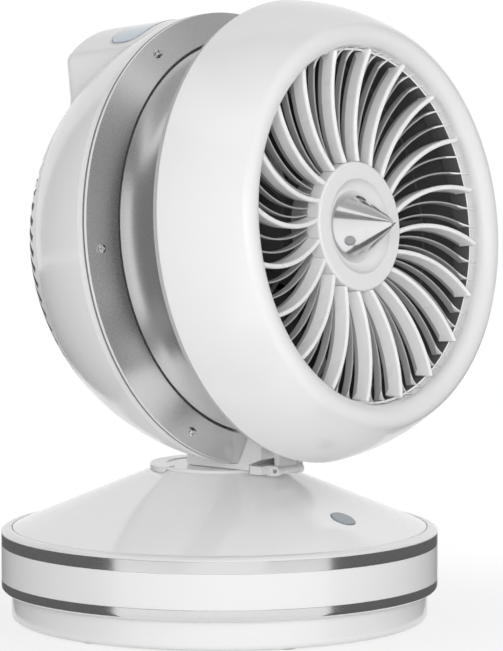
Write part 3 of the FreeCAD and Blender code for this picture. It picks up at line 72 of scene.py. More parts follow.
# Region of the housing where the pod runs into the dome: half width, least height, front end
POD_REGION_HALF, POD_REGION_FOOT, POD_REGION_FRONT = 0.085, 0.07, 0.006

# Pod's outline: front end and spacing of the places on its side walls, in millimetres, and the steps
# of a corner and of the rear
POD_FRONT_MM, POD_SPACING_MM = -22, -2
CORNER_STEPS, REAR_STEPS = 12, 24

# Pod's fillet: steps over its curve, how far its edges and its hidden back sink into the shells, the
# most of the wall's height that it takes, and the least reach that is made
FILLET_STEPS = 10
FILLET_SINK, FILLET_BACK = 0.0001, 0.0005
FILLET_SHARE, FILLET_LEAST = 0.55, 0.001

# Edges flatter than this are shaded smooth on the added pieces
SMOOTH_EDGE = math.radians(35)

# Front line of the vanes: distance from the axis and place along it at the hub, and slope; how far
# behind that line the slats begin, where the faces get painted shade
VANE_FOOT, VANE_FRONT, VANE_SLOPE = 0.0366, 0.1102, 0.12
SLAT_DEPTH = 0.0065

# Number of vanes; the two slats beside each, in degrees of turn from the first; the first one's turn
# where its hooked end starts, and how many degrees a slat sweeps back for each metre outwards
VANE_COUNT = 20
SLAT_OFFSETS = (0.0, 12.0)
SLAT_TURN, SLAT_SWEEP = 4.75, 261.0

# A slat's hooked end, a curve from its start over a bend to its tip: distances from the axis and
# places along it; its lower edge, which steps forward over the rim ring
HOOK_STEPS = 8
HOOK_REACH = (0.0985, 0.105, 0.1066)
HOOK_TOP = (0.1093, 0.1104, 0.1174)
HOOK_FOOT, HOOK_RIM_FOOT, HOOK_RIM_REACH = 0.109, 0.1128, 0.1052

# Nose cone: tip and foot along the axis, growth of its radius behind the tip, least depth in a dimple
NOSE_TIP, NOSE_FOOT, NOSE_SLOPE, DIMPLE_SINK = 0.138, 0.1062, 0.6719, 0.0002

# Finishes: cells per metre of colour drift and gloss patches, plastic's drift, heights of the skins in
# metres, gloss of a clear coat, and the part of a noise's range that is spread
DRIFT_SCALE, GLOSS_SCALE = 6.0, 35.0
PLASTIC_DRIFT = 0.02
PLASTIC_SKIN, METAL_SKIN = 0.0002, 0.0001
COAT_ROUGH = 0.08
NOISE_RANGE = (0.3, 0.7)

# Camera and lamps: a lamp's place is given from the aimed point, to the camera's back, right and up
SENSOR_HEIGHT, CLIP_END = 36.0, 50.0
LAMP_SIZE = 1.2
LAMP_PLACES = {"key": (2.2, 0.0, 0.05), "fill": (1.5, 1.5, 0.5), "rear": (-1.8, 1.2, 1.0)}

# Cards, in metres: foot and top of the walls; far end and lift of those on the table, radius of the
# drum in which they mirror, and their near ends; near end, far end and height of the two under the head
CARD_STEPS = 24
CARD_FOOT, CARD_TOP = 0.02, 2.9
TABLE_FAR, TABLE_LIFT, DRUM_REACH = 1.5, 0.003, 0.136
TABLE_AT_FOOT, TABLE_AT_FRONT, TABLE_AT_NEAR = 0.004, 0.45, 0.5
UNDER_HEAD, UNDER_BAND = (0.135, 1.7, 0.1), (0.15, 0.23, 0.13)

# Floor: half its side, its drift and gloss, and between which distances and shares its glow takes over
FLOOR_HALF = 8.0
FLOOR_SCALE, FLOOR_DRIFT, FLOOR_ROUGH = 3.0, 0.01, 0.9
GLOW_DISTANCE, GLOW_SHARE = (0.13, 0.36), (0.76, 1.0)


def tone(name, what, value):
    """A colour property."""
    return FloatVectorProperty(name=name, description=what, default=value, subtype="COLOR", size=3,
                               min=0, max=1)


def length(name, what, value):
    """A length property in metres."""
    return FloatProperty(name=name, description=what, default=value, unit="LENGTH", precision=4)


def bearing(name, what, degrees):
    """An angle property."""
    return FloatProperty(name=name, description=what, default=math.radians(degrees), subtype="ANGLE")


def watts(name, what, value):
    """A lamp's power property."""
    return FloatProperty(name=name, description=what, default=value, unit="POWER", min=0)


def strength(name, what, value):
    """A light's strength property, where 1 shows as white."""
    return FloatProperty(name=name, description=what, default=value, subtype="FACTOR", min=0, max=1)


class FanFinishes(bpy.types.PropertyGroup):
    """Colours of the fan's finishes."""

    white: tone("White plastic", "Glossy white of the shells", (0.85, 0.85, 0.85))
    # Painted light: a brighter copy of the shells' white that stands in for more light falling on the
    # cone
    cover_white_lit: tone("Cover white", "White of the cone over the base", (0.95, 0.95, 0.95))
    # Painted light: a brighter copy of the shells' white that stands in for more light falling on the
    # vanes
    vane_white_lit: tone("Vane white", "White of the outlet vanes", (0.93, 0.93, 0.93))
    silver: tone("Silver trim", "Satin silver of the base trims", (0.76, 0.76, 0.76))
    band: tone("Silver band", "Satin silver of the screwed ring", (0.67, 0.67, 0.67))
    duct: tone("Silver duct", "Silver paint of the waisted duct", (0.64, 0.64, 0.64))
    collar: tone("Collar grey", "Light grey of the shroud's rear collar", (0.5, 0.5, 0.5))
    # Painted shade: grey put on the slats deep between the vanes and in the groove behind the silver
    # ring, which are white plastic in shade
    slat: tone("Slat grey", "Grey of the thin slats between the vanes", (0.42, 0.42, 0.42))
    # Painted shade: dark grey put where shade falls inside the head, on its inner faces, the grille's
    # slots, the rim ring behind the vanes, and the motor with its mount
    lining: tone("Dark lining", "Dark grey of the surfaces inside the head", (0.11, 0.11, 0.11))
    chrome: tone("Chrome", "Bright plating of the nose cone and screws", (0.82, 0.82, 0.83))
    dimple: tone("Dimple", "Matt grey of the nose cone's dimples", (0.42, 0.42, 0.43))
    steel: tone("Steel", "Bare steel of shafts and screws", (0.5, 0.5, 0.51))
    bronze: tone("Bronze", "Sintered bronze of the bushes", (0.5, 0.33, 0.16))
    nylon: tone("Nylon", "Natural nylon of the gears", (0.75, 0.73, 0.66))
    dark: tone("Dark plastic", "Dark grey of the rotor and inner frames", (0.05, 0.05, 0.053))
    rubber: tone("Rubber", "Black rubber of the feet and the cord inlet", (0.025, 0.025, 0.025))
    lens: tone("Receiver lens", "Smoked grey-blue of the round lens", (0.21, 0.25, 0.29))
    window: tone("Display window", "Pale blue-grey of the display", (0.5, 0.59, 0.7))
    board: tone("Circuit board", "Green of the boards", (0.02, 0.09, 0.04))


class FanSizes(bpy.types.PropertyGroup):
    """Sizes of the small detail that is added to the solids."""

    edge_soft: length("Edge softness", "Radius of moulded edges in shading", 0.0005)
    vane_soft: length("Vane softness", "Radius of the vanes' edges in shading", 0.0011)
    pod_soft: length("Pod softness", "Radius of the pod's crown on the dome in shading", 0.004)
    pod_half: length("Pod half width", "Half the width of the control pod", 0.047)
    pod_back: length("Pod back", "Distance of the pod's back face behind the head's middle", 0.074)
    pod_side: length("Pod side height", "Height of the pod's side walls over the head's middle", 0.1205)
    pod_round: length("Pod corner", "Radius of the pod's rear corners", 0.0075)
    fillet: length("Pod fillet", "Reach of the fillet between the pod and the dome", 0.017)
    hook_web: length("Hook thickness", "Thickness of the hooked webs at the slats' ends", 0.001)
    grain: FloatProperty(name="Plastic grain", description="Grain cells per metre of moulded plastic",
                         default=900.0)
    brush: FloatProperty(name="Brushing", description="Brush lines per metre of silver parts",
                         default=2600.0)


class FanStage(bpy.types.PropertyGroup):
    """Camera, light and floor."""

    distance: length("Camera distance", "Distance from the aimed point to the camera", 2.3457)
    azimuth: bearing("Camera azimuth", "Turn of the camera from the front", -50.19)
    elevation: bearing("Camera elevation", "Rise of the camera", 5.15)
    aim_height: length("Aim height", "Height of the aimed point", 0.2)
    slide: length("Camera slide", "Shift of the camera to its right", 0.01973)
    lift: length("Camera lift", "Shift of the camera upwards", -0.01702)
    lens: FloatProperty(name="Lens", description="Focal length on a 36 mm high sensor",
                        default=210.7, unit="CAMERA")
    shift: FloatProperty(name="Lens shift", description="Upward shift as a share of the picture",
                         default=-0.0034, precision=4)
    key: watts("Key light", "Power of the large key light", 17.0)
    fill: watts("Fill light", "Power of the fill light before the outlet", 6.5)
    rear: watts("Rear light", "Power of the light behind the object", 8.0)
    sky: strength("Sky", "Strength of the surrounding light at the horizon", 0.9)
    zenith: strength("Zenith", "Strength of the surrounding light overhead", 0.38)
    card: strength("Dark cards", "Strength of the dark cards at both sides", 0.25)
    card_front: strength("Front cards", "Strength of the cards before the outlet", 0.36)
    card_table: strength("Table cards", "Strength of the cards on the table", 0.13)
    card_high: strength("High cards", "Strength of the overhead and upper cards", 0.45)
    card_distance: length("Card distance", "Distance of the walls of card from the object's middle", 1.9)
    card_height: length("Card height", "Height of the cards at the right", 1.4)
    left_height: length("Left card height", "Height of the cards at the left", 2.2)
    ceiling: length("Ceiling", "Height of the overhead card", 1.8)
    floor: tone("Floor", "Colour of the pale floor", (0.9, 0.9, 0.9))


# Materials


class Nodes:
    """Short ways to add and link shader nodes of one material."""

    def __init__(self, name):
        self.material = bpy.data.materials.new(name)
        self.material.use_nodes = True
        self.tree = self.material.node_tree
        self.shader = self.tree.nodes["Principled BSDF"]
        self.surface = self.tree.nodes["Material Output"].inputs["Surface"]

    def add(self, kind, **values):
        """A new node, with its inputs and settings by name."""
        node = self.tree.nodes.new(kind)
        for key, value in values.items():
            if key in node.inputs:
                node.inputs[key].default_value = value
            else:
                setattr(node, key, value)
        return node

    def link(self, source, target):
        """Link an output to an input."""
        self.tree.links.new(source, target)

    def noise(self, scale, detail=3.0, stretch=(1, 1, 1)):
        """Noise in the piece's own space."""
        place = self.add("ShaderNodeTexCoord")
        mapping = self.add("ShaderNodeMapping", Scale=stretch)
        self.link(place.outputs["Object"], mapping.inputs["Vector"])
        noise = self.add("ShaderNodeTexNoise", Scale=scale, Detail=detail)
        self.link(mapping.outputs["Vector"], noise.inputs["Vector"])
        return noise.outputs["Fac"]

    def remap(self, source, old, new, kind="LINEAR"):
        """Map the range old of a value to the range new."""
        ramp = self.add("ShaderNodeMapRange", interpolation_type=kind)
        for key, value in zip(("From Min", "From Max", "To Min", "To Max"), (*old, *new)):
            ramp.inputs[key].default_value = value
        self.link(source, ramp.inputs["Value"])
        return ramp.outputs["Result"]

    def tint(self, source, colour, amount):
        """Vary a colour's lightness by amount either way."""
        mix = self.add("ShaderNodeMix", data_type="RGBA")
        # By number, because the mix node's sockets for numbers and colours share their names
        factor, dark, light = mix.inputs[0], mix.inputs[6], mix.inputs[7]
        dark.default_value = [c * (1 - amount) for c in colour] + [1]
        light.default_value = [min(1, c * (1 + amount)) for c in colour] + [1]
        self.link(source, factor)
        self.link(mix.outputs[2], self.shader.inputs["Base Color"])

    def bump(self, source, amount, depth, soft):
        """Bump over edges that are softened by the given radius."""
        bevel = self.add("ShaderNodeBevel", samples=4, Radius=soft)
        bump = self.add("ShaderNodeBump", Strength=amount, Distance=depth)
        self.link(source, bump.inputs["Height"])
        self.link(bevel.outputs["Normal"], bump.inputs["Normal"])
        self.link(bump.outputs["Normal"], self.shader.inputs["Normal"])


def plastic(name, colour, rough=(0.16, 0.26), grain=0.06, coat=0.0, soft=None):
    """Moulded plastic: faint colour drift, uneven gloss and a fine skin."""
    sizes = bpy.context.scene.fan_sizes
    n = Nodes(name)
    n.tint(n.noise(DRIFT_SCALE), colour, PLASTIC_DRIFT)
    n.link(n.remap(n.noise(GLOSS_SCALE), NOISE_RANGE, rough), n.shader.inputs["Roughness"])
    n.bump(n.noise(sizes.grain, detail=2.0), grain, PLASTIC_SKIN, soft or sizes.edge_soft)
    n.shader.inputs["Coat Weight"].default_value = coat
    n.shader.inputs["Coat Roughness"].default_value = COAT_ROUGH
    return n.material


def metal(name, colour, rough=(0.25, 0.36), stretch=(1, 1, 1), grain=0.05, scale=None, drift=0.05):
    """Metal or metal paint: brushed or spun grain in gloss and skin."""
    sizes = bpy.context.scene.fan_sizes
    n = Nodes(name)
    n.shader.inputs["Metallic"].default_value = 1.0
    lines = n.noise(scale or sizes.brush, detail=2.0, stretch=stretch)
    n.tint(lines, colour, drift)
    n.link(n.remap(lines, NOISE_RANGE, rough), n.shader.inputs["Roughness"])
    n.bump(lines, grain, METAL_SKIN, sizes.edge_soft)
    return n.material


def make_materials():
    """Every finish of the fan, by name."""
    c = bpy.context.scene.fan_finishes
    sizes = bpy.context.scene.fan_sizes
    return {
        "white_gloss": plastic("white_gloss", c.white, coat=0.25),
        "white_blend": plastic("white_blend", c.white, coat=0.25, soft=sizes.pod_soft),
        # Painted light: the cone's white is a brighter copy of the shells' white
        "white_cover": plastic("white_cover", c.cover_white_lit, (0.1, 0.16), coat=0.25),
        # Painted light: the vanes' white is a brighter copy of the shells' white
        "white_vane": plastic("white_vane", c.vane_white_lit, (0.24, 0.34), soft=sizes.vane_soft),
        # Painted shade: grey for the slats and the groove behind the ring
        "slat": plastic("slat", c.slat, (0.3, 0.4)),
        "collar": plastic("collar", c.collar, (0.25, 0.35)),
        # Painted shade: dark grey for the faces inside the head
        "lining": plastic("lining", c.lining, (0.5, 0.6), 0.1),
        "white_satin": plastic("white_satin", c.white, (0.3, 0.4)),
        "silver": metal("silver", c.silver, (0.14, 0.2), stretch=(0.05, 0.05, 1.0)),
        "band": metal("band", c.band, (0.24, 0.28), grain=0.006, drift=0.02),
        "silver_duct": metal("silver_duct", c.duct, (0.26, 0.34), grain=0.03),
        "chrome": metal("chrome", c.chrome, (0.05, 0.09), grain=0.01, scale=300.0),
        "nose": metal("nose", c.chrome, (0.13, 0.18), grain=0.01, scale=300.0),
        "dimple": metal("dimple", c.dimple, (0.3, 0.4)),
        "steel": metal("steel", c.steel),
        "motor_steel": metal("motor_steel", c.steel, (0.35, 0.5)),
        "bronze": metal("bronze", c.bronze, (0.4, 0.55), grain=0.2, scale=4000.0),
        "gear_nylon": plastic("gear_nylon", c.nylon, (0.45, 0.55)),
        "dark_plastic": plastic("dark_plastic", c.dark, (0.4, 0.55), 0.12),
        "rubber": plastic("rubber", c.rubber, (0.6, 0.8), 0.25),
        "lens": plastic("lens", c.lens, (0.06, 0.1), 0.01, coat=0.6),
        "window": plastic("window", c.window, (0.06, 0.1), 0.01, coat=0.6),
        "board": plastic("board", c.board, (0.35, 0.5), 0.15),
    }


FINISHES = {}


def finish_of(name):
    """A finish by its name; the first call makes them all."""
    if not FINISHES:
        FINISHES.update(make_materials())
    return FINISHES[name]


def dress(finish, *names):
    """Give CAD nodes a finish."""
    for name in names:
        mesh = NODES[name].data
        mesh.materials.clear()
        mesh.materials.append(finish_of(finish))


def pick_faces(finish, name, wanted):
    """Give another finish to the faces of a CAD node that wanted() picks."""
    mesh = NODES[name].data
    index = len(mesh.materials)
    mesh.materials.append(finish_of(finish))
    for face in mesh.polygons:
        if wanted(face):
            face.material_index = index


# Places and faces of the head


def head_place(point):
    """Sideways, upward and forward place of a point on the head."""
    q = point - HEAD_ORIGIN
    return q.dot(HEAD_SIDE), q.dot(HEAD_UP), q.dot(HEAD_FORWARD)


def outward_look(face):
    """Distance of a face from the head axis, and how far it looks away from the axis."""
    x, u, _ = head_place(face.center)
    outward = HEAD_SIDE * x + HEAD_UP * u
    return outward.length, face.normal.dot(outward.normalized())


def faces_axis(face):
    """Whether a face of the head looks towards its axis."""
    distance, look = outward_look(face)
    return distance > ON_AXIS and look < INWARD


def near_pod(face):
    """Whether a housing face lies where the control pod runs into the dome."""
    x, u, s = head_place(face.center)
    return abs(x) < POD_REGION_HALF and u > POD_REGION_FOOT and s < POD_REGION_FRONT


def in_liner(face):
    """Whether a shroud face lies inside it, behind the end of the dark painted shade."""
    return faces_axis(face) and head_place(face.center)[2] < LINER_END


def on_collar(face):
    """Whether a shroud face lies on the narrow collar behind its outer skin."""
    return head_place(face.center)[2] < COLLAR_END and not faces_axis(face)


def in_rim_groove(face):
    """Whether a housing face lies in the groove behind the silver ring, which gets painted shade."""
    return head_place(face.center)[2] > RIM_GROOVE


def on_ring_lip(face):
    """Whether a face of the silver ring lies on its outer lip."""
    x, u, _ = head_place(face.center)
    return math.hypot(x, u) > BAND_EDGE and not faces_axis(face)


def in_grille_slot(face):
    """Whether a face of the rear grille stands in one of its slots, which get painted shade."""
    x, u, s = head_place(face.center)
    outward = HEAD_SIDE * x + HEAD_UP * u + HEAD_FORWARD * (s - GRILLE_MIDDLE)
    return face.normal.dot(outward.normalized()) < SLOT_WALL


def in_vane_rim(face):
    """Whether a face lies on the inner wall of the ring that joins the vanes' outer ends, which gets
    painted shade.
    """
    distance, look = outward_look(face)
    return distance > VANE_RIM and look < FULLY_INWARD


def in_slat(face):
    """Whether a face lies well behind the vanes' front line, as the slats do; these faces get painted
    shade.
    """
    vertices = NODES["outlet_vanes"].data.vertices
    for index in face.vertices:
        x, u, s = head_place(vertices[index].co)
        if VANE_FRONT + (math.hypot(x, u) - VANE_FOOT) * VANE_SLOPE - s < SLAT_DEPTH:
            return False
    return True


def in_dimple(face):
    """Whether a face of the nose cone lies in one of its dimples."""
    x, u, s = head_place(face.center)
    return s > NOSE_FOOT and (NOSE_TIP - s) * NOSE_SLOPE - math.hypot(x, u) > DIMPLE_SINK


# Pieces that are added to the head


def bend(first, middle, last, k):
    """Place at a share k of a curve that runs from first towards middle and on to last."""
    return first * (1 - k) ** 2 + middle * 2 * k * (1 - k) + last * k ** 2


def add_head_piece(name, lofts, finish):
    """A piece on the head from closed lofts, each through loops of sideways, upward, forward places."""
    points, faces = [], []
    for loops in lofts:
        size = len(loops[0])
        first = len(points)
        for loop in loops:
            points += [HEAD_ORIGIN + HEAD_SIDE * q.x + HEAD_UP * q.y + HEAD_FORWARD * q.z for q in loop]
        for i in range(len(loops) - 1):
            row = first + i * size
            for j in range(size):
                k = (j + 1) % size
                faces.append((row + j, row + k, row + size + k, row + size + j))
        last = first + (len(loops) - 1) * size
        faces += [tuple(range(first, first + size)), tuple(last + j for j in reversed(range(size)))]
    mesh = bpy.data.meshes.new(name)
    mesh.from_pydata(points, [], faces)
    edit = bmesh.new()
    edit.from_mesh(mesh)
    bmesh.ops.recalc_face_normals(edit, faces=edit.faces)
    for face in edit.faces:
        face.smooth = True
    for edge in edit.edges:
        edge.smooth = edge.calc_face_angle(0.0) < SMOOTH_EDGE
    edit.to_mesh(mesh)
    edit.free()
    piece = bpy.data.objects.new(name, mesh)
    bpy.context.scene.collection.objects.link(piece)
    mesh.materials.append(finish_of(finish))
    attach(piece, "head")


def dome_reach(s):
    """Distance of the dome's or the grille's outer face from the head axis, at a place along it."""
    if s > GRILLE_EDGE:
        return math.sqrt(DOME_BEND ** 2 - (s - DOME_MIDDLE) ** 2) - DOME_DROP
    return math.sqrt(GRILLE_BEND ** 2 - (s - GRILLE_MIDDLE) ** 2)


def pod_outline(sizes):
    """Places and outward directions round the pod's walls, seen from above: (x, s, nx, ns)."""
    half, back, corner = sizes.pod_half, -sizes.pod_back, sizes.pod_round
    inner = half - corner
    side_places = range(POD_FRONT_MM, int((back + corner) * 1000), POD_SPACING_MM)
    right = [(half, place * 0.001, 1.0, 0.0) for place in side_places]
    for i in range(CORNER_STEPS + 1):
        angle = math.radians(90 * i / CORNER_STEPS)
        nx, ns = math.cos(angle), -math.sin(angle)
        right.append((inner + corner * nx, back + corner + corner * ns, nx, ns))
    rear = [(inner - 2 * inner * i / REAR_STEPS, back, 0.0, -1.0) for i in range(1, REAR_STEPS)]
    left = [(-x, s, -nx, ns) for x, s, nx, ns in reversed(right)]
    return right + rear + left


def make_pod_fillet():
    """Concave fillet that carries the pod's walls smoothly into the dome."""
    sizes = bpy.context.scene.fan_sizes
    loops = []
    for x, s, nx, ns in pod_outline(sizes):
        foot = math.sqrt(dome_reach(s) ** 2 - x ** 2)
        reach = min(sizes.fillet, FILLET_SHARE * (sizes.pod_side - sizes.pod_round - foot))
        if reach < FILLET_LEAST:
            continue
        out_x, out_s = x + nx * reach, s + ns * reach
        on_wall = Vector((x - nx * FILLET_SINK, foot + reach, s - ns * FILLET_SINK))
        corner = Vector((x, foot, s))
        on_dome = Vector((out_x, math.sqrt(dome_reach(out_s) ** 2 - out_x ** 2) - FILLET_SINK, out_s))
        loop = [bend(on_wall, corner, on_dome, i / FILLET_STEPS) for i in range(FILLET_STEPS + 1)]
        loop.append(corner - Vector((nx, 1.0, ns)) * FILLET_BACK)
        loops.append(loop)
    add_head_piece("pod_fillet", [loops], "white_gloss")


def slat_place(turn, reach, s):
    """Place on a slat's middle line, at a distance from the head axis."""
    angle = math.radians(turn + SLAT_TURN - (reach - HOOK_REACH[0]) * SLAT_SWEEP)
    return Vector((reach * math.cos(angle), reach * math.sin(angle), s))


def make_slat_ends():
    """Small hooked webs that carry each slat's front edge up the outlet's wall."""
    half = bpy.context.scene.fan_sizes.hook_web / 2
    turns = [360.0 / VANE_COUNT * i + offset for i in range(VANE_COUNT) for offset in SLAT_OFFSETS]
    lofts = []
    for turn in turns:
        run = slat_place(turn, HOOK_REACH[-1], 0) - slat_place(turn, HOOK_REACH[0], 0)
        aside = Vector((-run.y, run.x, 0)).normalized() * half
        loops = []
        for i in range(HOOK_STEPS + 1):
            reach, top = bend(*HOOK_REACH, i / HOOK_STEPS), bend(*HOOK_TOP, i / HOOK_STEPS)
            foot = HOOK_FOOT if reach < HOOK_RIM_REACH else HOOK_RIM_FOOT
            high, low = slat_place(turn, reach, top), slat_place(turn, reach, foot)
            loops.append([high + aside, high - aside, low - aside, low + aside])
        lofts.append(loops)
    # The hooks get the brighter vane white, which is painted light
    add_head_piece("slat_ends", lofts, "white_vane")


# Operators, one for each group of pieces


class FAN_OT_base(bpy.types.Operator):
    """Finish the round base with its trims, lens and feet"""

    bl_idname = "fan.base"
    bl_label = "Base"

    def execute(self, context):
        dress("white_gloss", "foot_ring", "base_drum", "shoulder_ring")
        # Painted light: the cone gets the brighter copy of the white
        dress("white_cover", "cone_cover")
        dress("silver", "lower_trim", "upper_trim")
        dress("lens", "receiver_lens")
        dress("rubber", "rubber_feet", "cord_gland")
        dress("dark_plastic", "floor_plate")
        return {"FINISHED"}


class FAN_OT_drive(bpy.types.Operator):
    """Finish the swing drive, the electronics and the small steel parts"""

    bl_idname = "fan.drive"
    bl_label = "Swing drive"

    def execute(self, context):
        dress("dark_plastic", "chassis")
        dress("steel", "ballast_ring", "base_screws", "chassis_screws", "retaining_clip", "tilt_pin",
              "block_screws")
        dress("bronze", "upper_bush", "lower_bush")
        dress("motor_steel", "swing_motor")
        dress("gear_nylon", "spindle_gear", "drive_pinion")
        dress("board", "control_board", "display_board")
        return {"FINISHED"}


class FAN_OT_neck(bpy.types.Operator):
    """Finish the turntable and the hinge block"""

    bl_idname = "fan.neck"
    bl_label = "Neck"

    def execute(self, context):
        dress("white_gloss", "turntable", "neck_block")
        return {"FINISHED"}


class FAN_OT_head(bpy.types.Operator):
    """Finish the head's shells, silver ring, duct and display"""

    bl_idname = "fan.head"
    bl_label = "Head"

    def execute(self, context):
        dress("white_gloss", "rear_housing", "front_shroud")
        dress("white_satin", "rear_grille")
        dress("band", "ring_plate")
        dress("silver_duct", "duct")
        dress("chrome", "ring_screws")
        dress("window", "display_window")
        pick_faces("white_blend", "rear_housing", near_pod)
        # Painted shade: the grille's slots and the faces inside the housing, grille, duct and shroud get
        # dark grey for the shade there
        pick_faces("lining", "rear_grille", in_grille_slot)
        for name in ("rear_housing", "rear_grille", "duct"):
            pick_faces("lining", name, faces_axis)
        pick_faces("lining", "front_shroud", in_liner)
        pick_faces("collar", "front_shroud", on_collar)
        # Painted shade: grey in the groove behind the silver ring
        pick_faces("slat", "rear_housing", in_rim_groove)
        pick_faces("white_gloss", "ring_plate", on_ring_lip)
        return {"FINISHED"}


class FAN_OT_pod_fillet(bpy.types.Operator):
    """Add the fillet between the control pod and the dome"""

    bl_idname = "fan.pod_fillet"
    bl_label = "Pod fillet"

    def execute(self, context):
        make_pod_fillet()
        return {"FINISHED"}


class FAN_OT_outlet(bpy.types.Operator):
    """Finish the outlet vanes, hub and nose cone"""

    bl_idname = "fan.outlet"
    bl_label = "Outlet"

    def execute(self, context):
        # Painted light: the vanes get the brighter copy of the white
        dress("white_vane", "outlet_vanes")
        dress("white_satin", "hub_cap")
        dress("nose", "nose_cone")
        # Painted shade: grey on the slats deep between the vanes, and dark grey on the rim ring's inner
        # wall
        pick_faces("slat", "outlet_vanes", in_slat)
        pick_faces("lining", "outlet_vanes", in_vane_rim)
        pick_faces("dimple", "nose_cone", in_dimple)
        return {"FINISHED"}


class FAN_OT_slat_ends(bpy.types.Operator):
    """Add the hooked ends of the outlet's slats"""

    bl_idname = "fan.slat_ends"
    bl_label = "Slat ends"

    def execute(self, context):
        make_slat_ends()
        return {"FINISHED"}


class FAN_OT_rotor(bpy.types.Operator):
    """Finish the fan motor, its mount and the rotor"""

    bl_idname = "fan.rotor"
    bl_label = "Rotor"

    def execute(self, context):
        dress("dark_plastic", "impeller", "impeller_nut")
        # Painted shade: the motor and its mount, deep inside the head, get the dark grey of the shade
        # there
        dress("lining", "motor_mount", "fan_motor")
        dress("steel", "motor_bearings", "motor_shaft")
        return {"FINISHED"}


# Stage


def camera_axes(stage):
    """Right, up and back directions of the camera."""
    back = Vector((math.sin(stage.azimuth) * math.cos(stage.elevation),
                   -math.cos(stage.azimuth) * math.cos(stage.elevation),
                   math.sin(stage.elevation)))
    right = Vector((math.cos(stage.azimuth), math.sin(stage.azimuth), 0))
    return right, back.cross(right), back


def add_camera(stage):
    """Camera with a long lens, at about the height of the fan's top."""
    right, up, back = camera_axes(stage)
    camera = bpy.data.cameras.new("camera")
    camera.sensor_fit = "VERTICAL"
    camera.sensor_height = SENSOR_HEIGHT
    camera.lens = stage.lens
    camera.shift_y = stage.shift
    camera.clip_end = CLIP_END
    obj = bpy.data.objects.new("camera", camera)
    aim = Vector((0, 0, stage.aim_height))
    place = aim + right * stage.slide + up * stage.lift + back * stage.distance
    turn = Matrix((right, up, back)).transposed().to_4x4()
    obj.matrix_world = Matrix.Translation(place) @ turn
    bpy.context.scene.collection.objects.link(obj)
    bpy.context.scene.camera = obj


def add_lamps(stage):
    """Large soft lamps by the camera, before the outlet and behind the fan, unseen in mirrors."""
    right, up, back = camera_axes(stage)
    aim = Vector((0, 0, stage.aim_height))
    for name, (away, aside, rise) in LAMP_PLACES.items():
        light = bpy.data.lights.new(name, "AREA")
        light.shape = "DISK"
        light.size = LAMP_SIZE
        light.energy = getattr(stage, name)
        lamp = bpy.data.objects.new(name, light)
        lamp.visible_glossy = False
        place = aim + back * away + right * aside + up * rise
        turn = (place - aim).to_track_quat("Z", "Y").to_matrix().to_4x4()
        lamp.matrix_world = Matrix.Translation(place) @ turn
        bpy.context.scene.collection.objects.link(lamp)


def add_card(name, corners, glow, shade=False):
    """A card between pairs of corners, unseen by the camera; with shade it also dims soft light."""
    points = [point for pair in corners for point in pair]
    faces = [(2 * i, 2 * i + 2, 2 * i + 3, 2 * i + 1) for i in range(len(corners) - 1)]
    mesh = bpy.data.meshes.new(name)
    mesh.from_pydata(points, [], faces)
    card = bpy.data.objects.new(name, mesh)
    bpy.context.scene.collection.objects.link(card)
    n = Nodes(name)
    n.tree.nodes.remove(n.shader)
    n.link(n.add("ShaderNodeEmission", Strength=glow).outputs[0], n.surface)
    mesh.materials.append(n.material)
    card.visible_camera = False
    card.visible_shadow = False
    card.visible_diffuse = shade


def way(angle):
    """Level direction at an angle in degrees to the right of the camera."""
    turn = bpy.context.scene.fan_stage.azimuth + math.radians(angle)
    return Vector((math.sin(turn), -math.cos(turn), 0))


def spread_angles(first, last):
    """Even angles from first to last."""
    return [first + (last - first) * i / CARD_STEPS for i in range(CARD_STEPS + 1)]


def wall(first, last, low, high):
    """Corners of a wall round the object between two angles from the camera."""
    far = bpy.context.scene.fan_stage.card_distance
    up = Vector((0, 0, 1))
    return [(way(a) * far + up * low, way(a) * far + up * high) for a in spread_angles(first, last)]


def sector(first, last, near, far, height):
    """Corners of a level card between two angles and two distances."""
    up = Vector((0, 0, height))
    return [(way(a) * near + up, way(a) * far + up) for a in spread_angles(first, last)]


def table_strip(first, last, near):
    """Corners of a card on the table that mirrors in the drum between two angles of the drum's wall."""
    up = Vector((0, 0, TABLE_LIFT))
    return [tuple(way(a) * DRUM_REACH + way(2 * a) * end + up for end in (near, TABLE_FAR))
            for a in spread_angles(first, last)]


def add_cards(stage):
    """Walls, table cards and an overhead card, which draw the dark bands in silver and chrome."""
    high, left_high = stage.card_height, stage.left_height
    add_card("card_left", wall(-62, -138, CARD_FOOT, left_high), stage.card)
    add_card("card_left_near", wall(-12, -62, CARD_FOOT, left_high), stage.card)
    add_card("card_right", wall(62, 140, CARD_FOOT, high), stage.card, shade=True)
    add_card("card_front", wall(24, 62, CARD_FOOT, high), stage.card_front)
    add_card("card_near_high", wall(-14, 30, high, CARD_TOP), stage.card, shade=True)
    add_card("card_under", sector(-12, -75, *UNDER_HEAD), stage.card)
    add_card("card_under_band", sector(10, -40, *UNDER_BAND), stage.card_front)
    add_card("card_front_high", wall(30, 58, high, CARD_TOP), stage.card_front)
    add_card("card_right_high", wall(72, 140, high, CARD_TOP), stage.card_high)
    add_card("card_table_left", table_strip(-28, -84, TABLE_AT_FOOT), stage.card_table)
    add_card("card_table_right", table_strip(30, 84, TABLE_AT_FOOT), stage.card_table)
    add_card("card_table_front", table_strip(12, 32, TABLE_AT_FRONT), stage.card)
    add_card("card_table_near", table_strip(-8, -32, TABLE_AT_NEAR), stage.card)
    up = Vector((0, 0, stage.ceiling))
    overhead = [(way(-45) + up, way(45) + up), (way(-135) + up, way(135) + up)]
    add_card("card_top", overhead, stage.card_high)


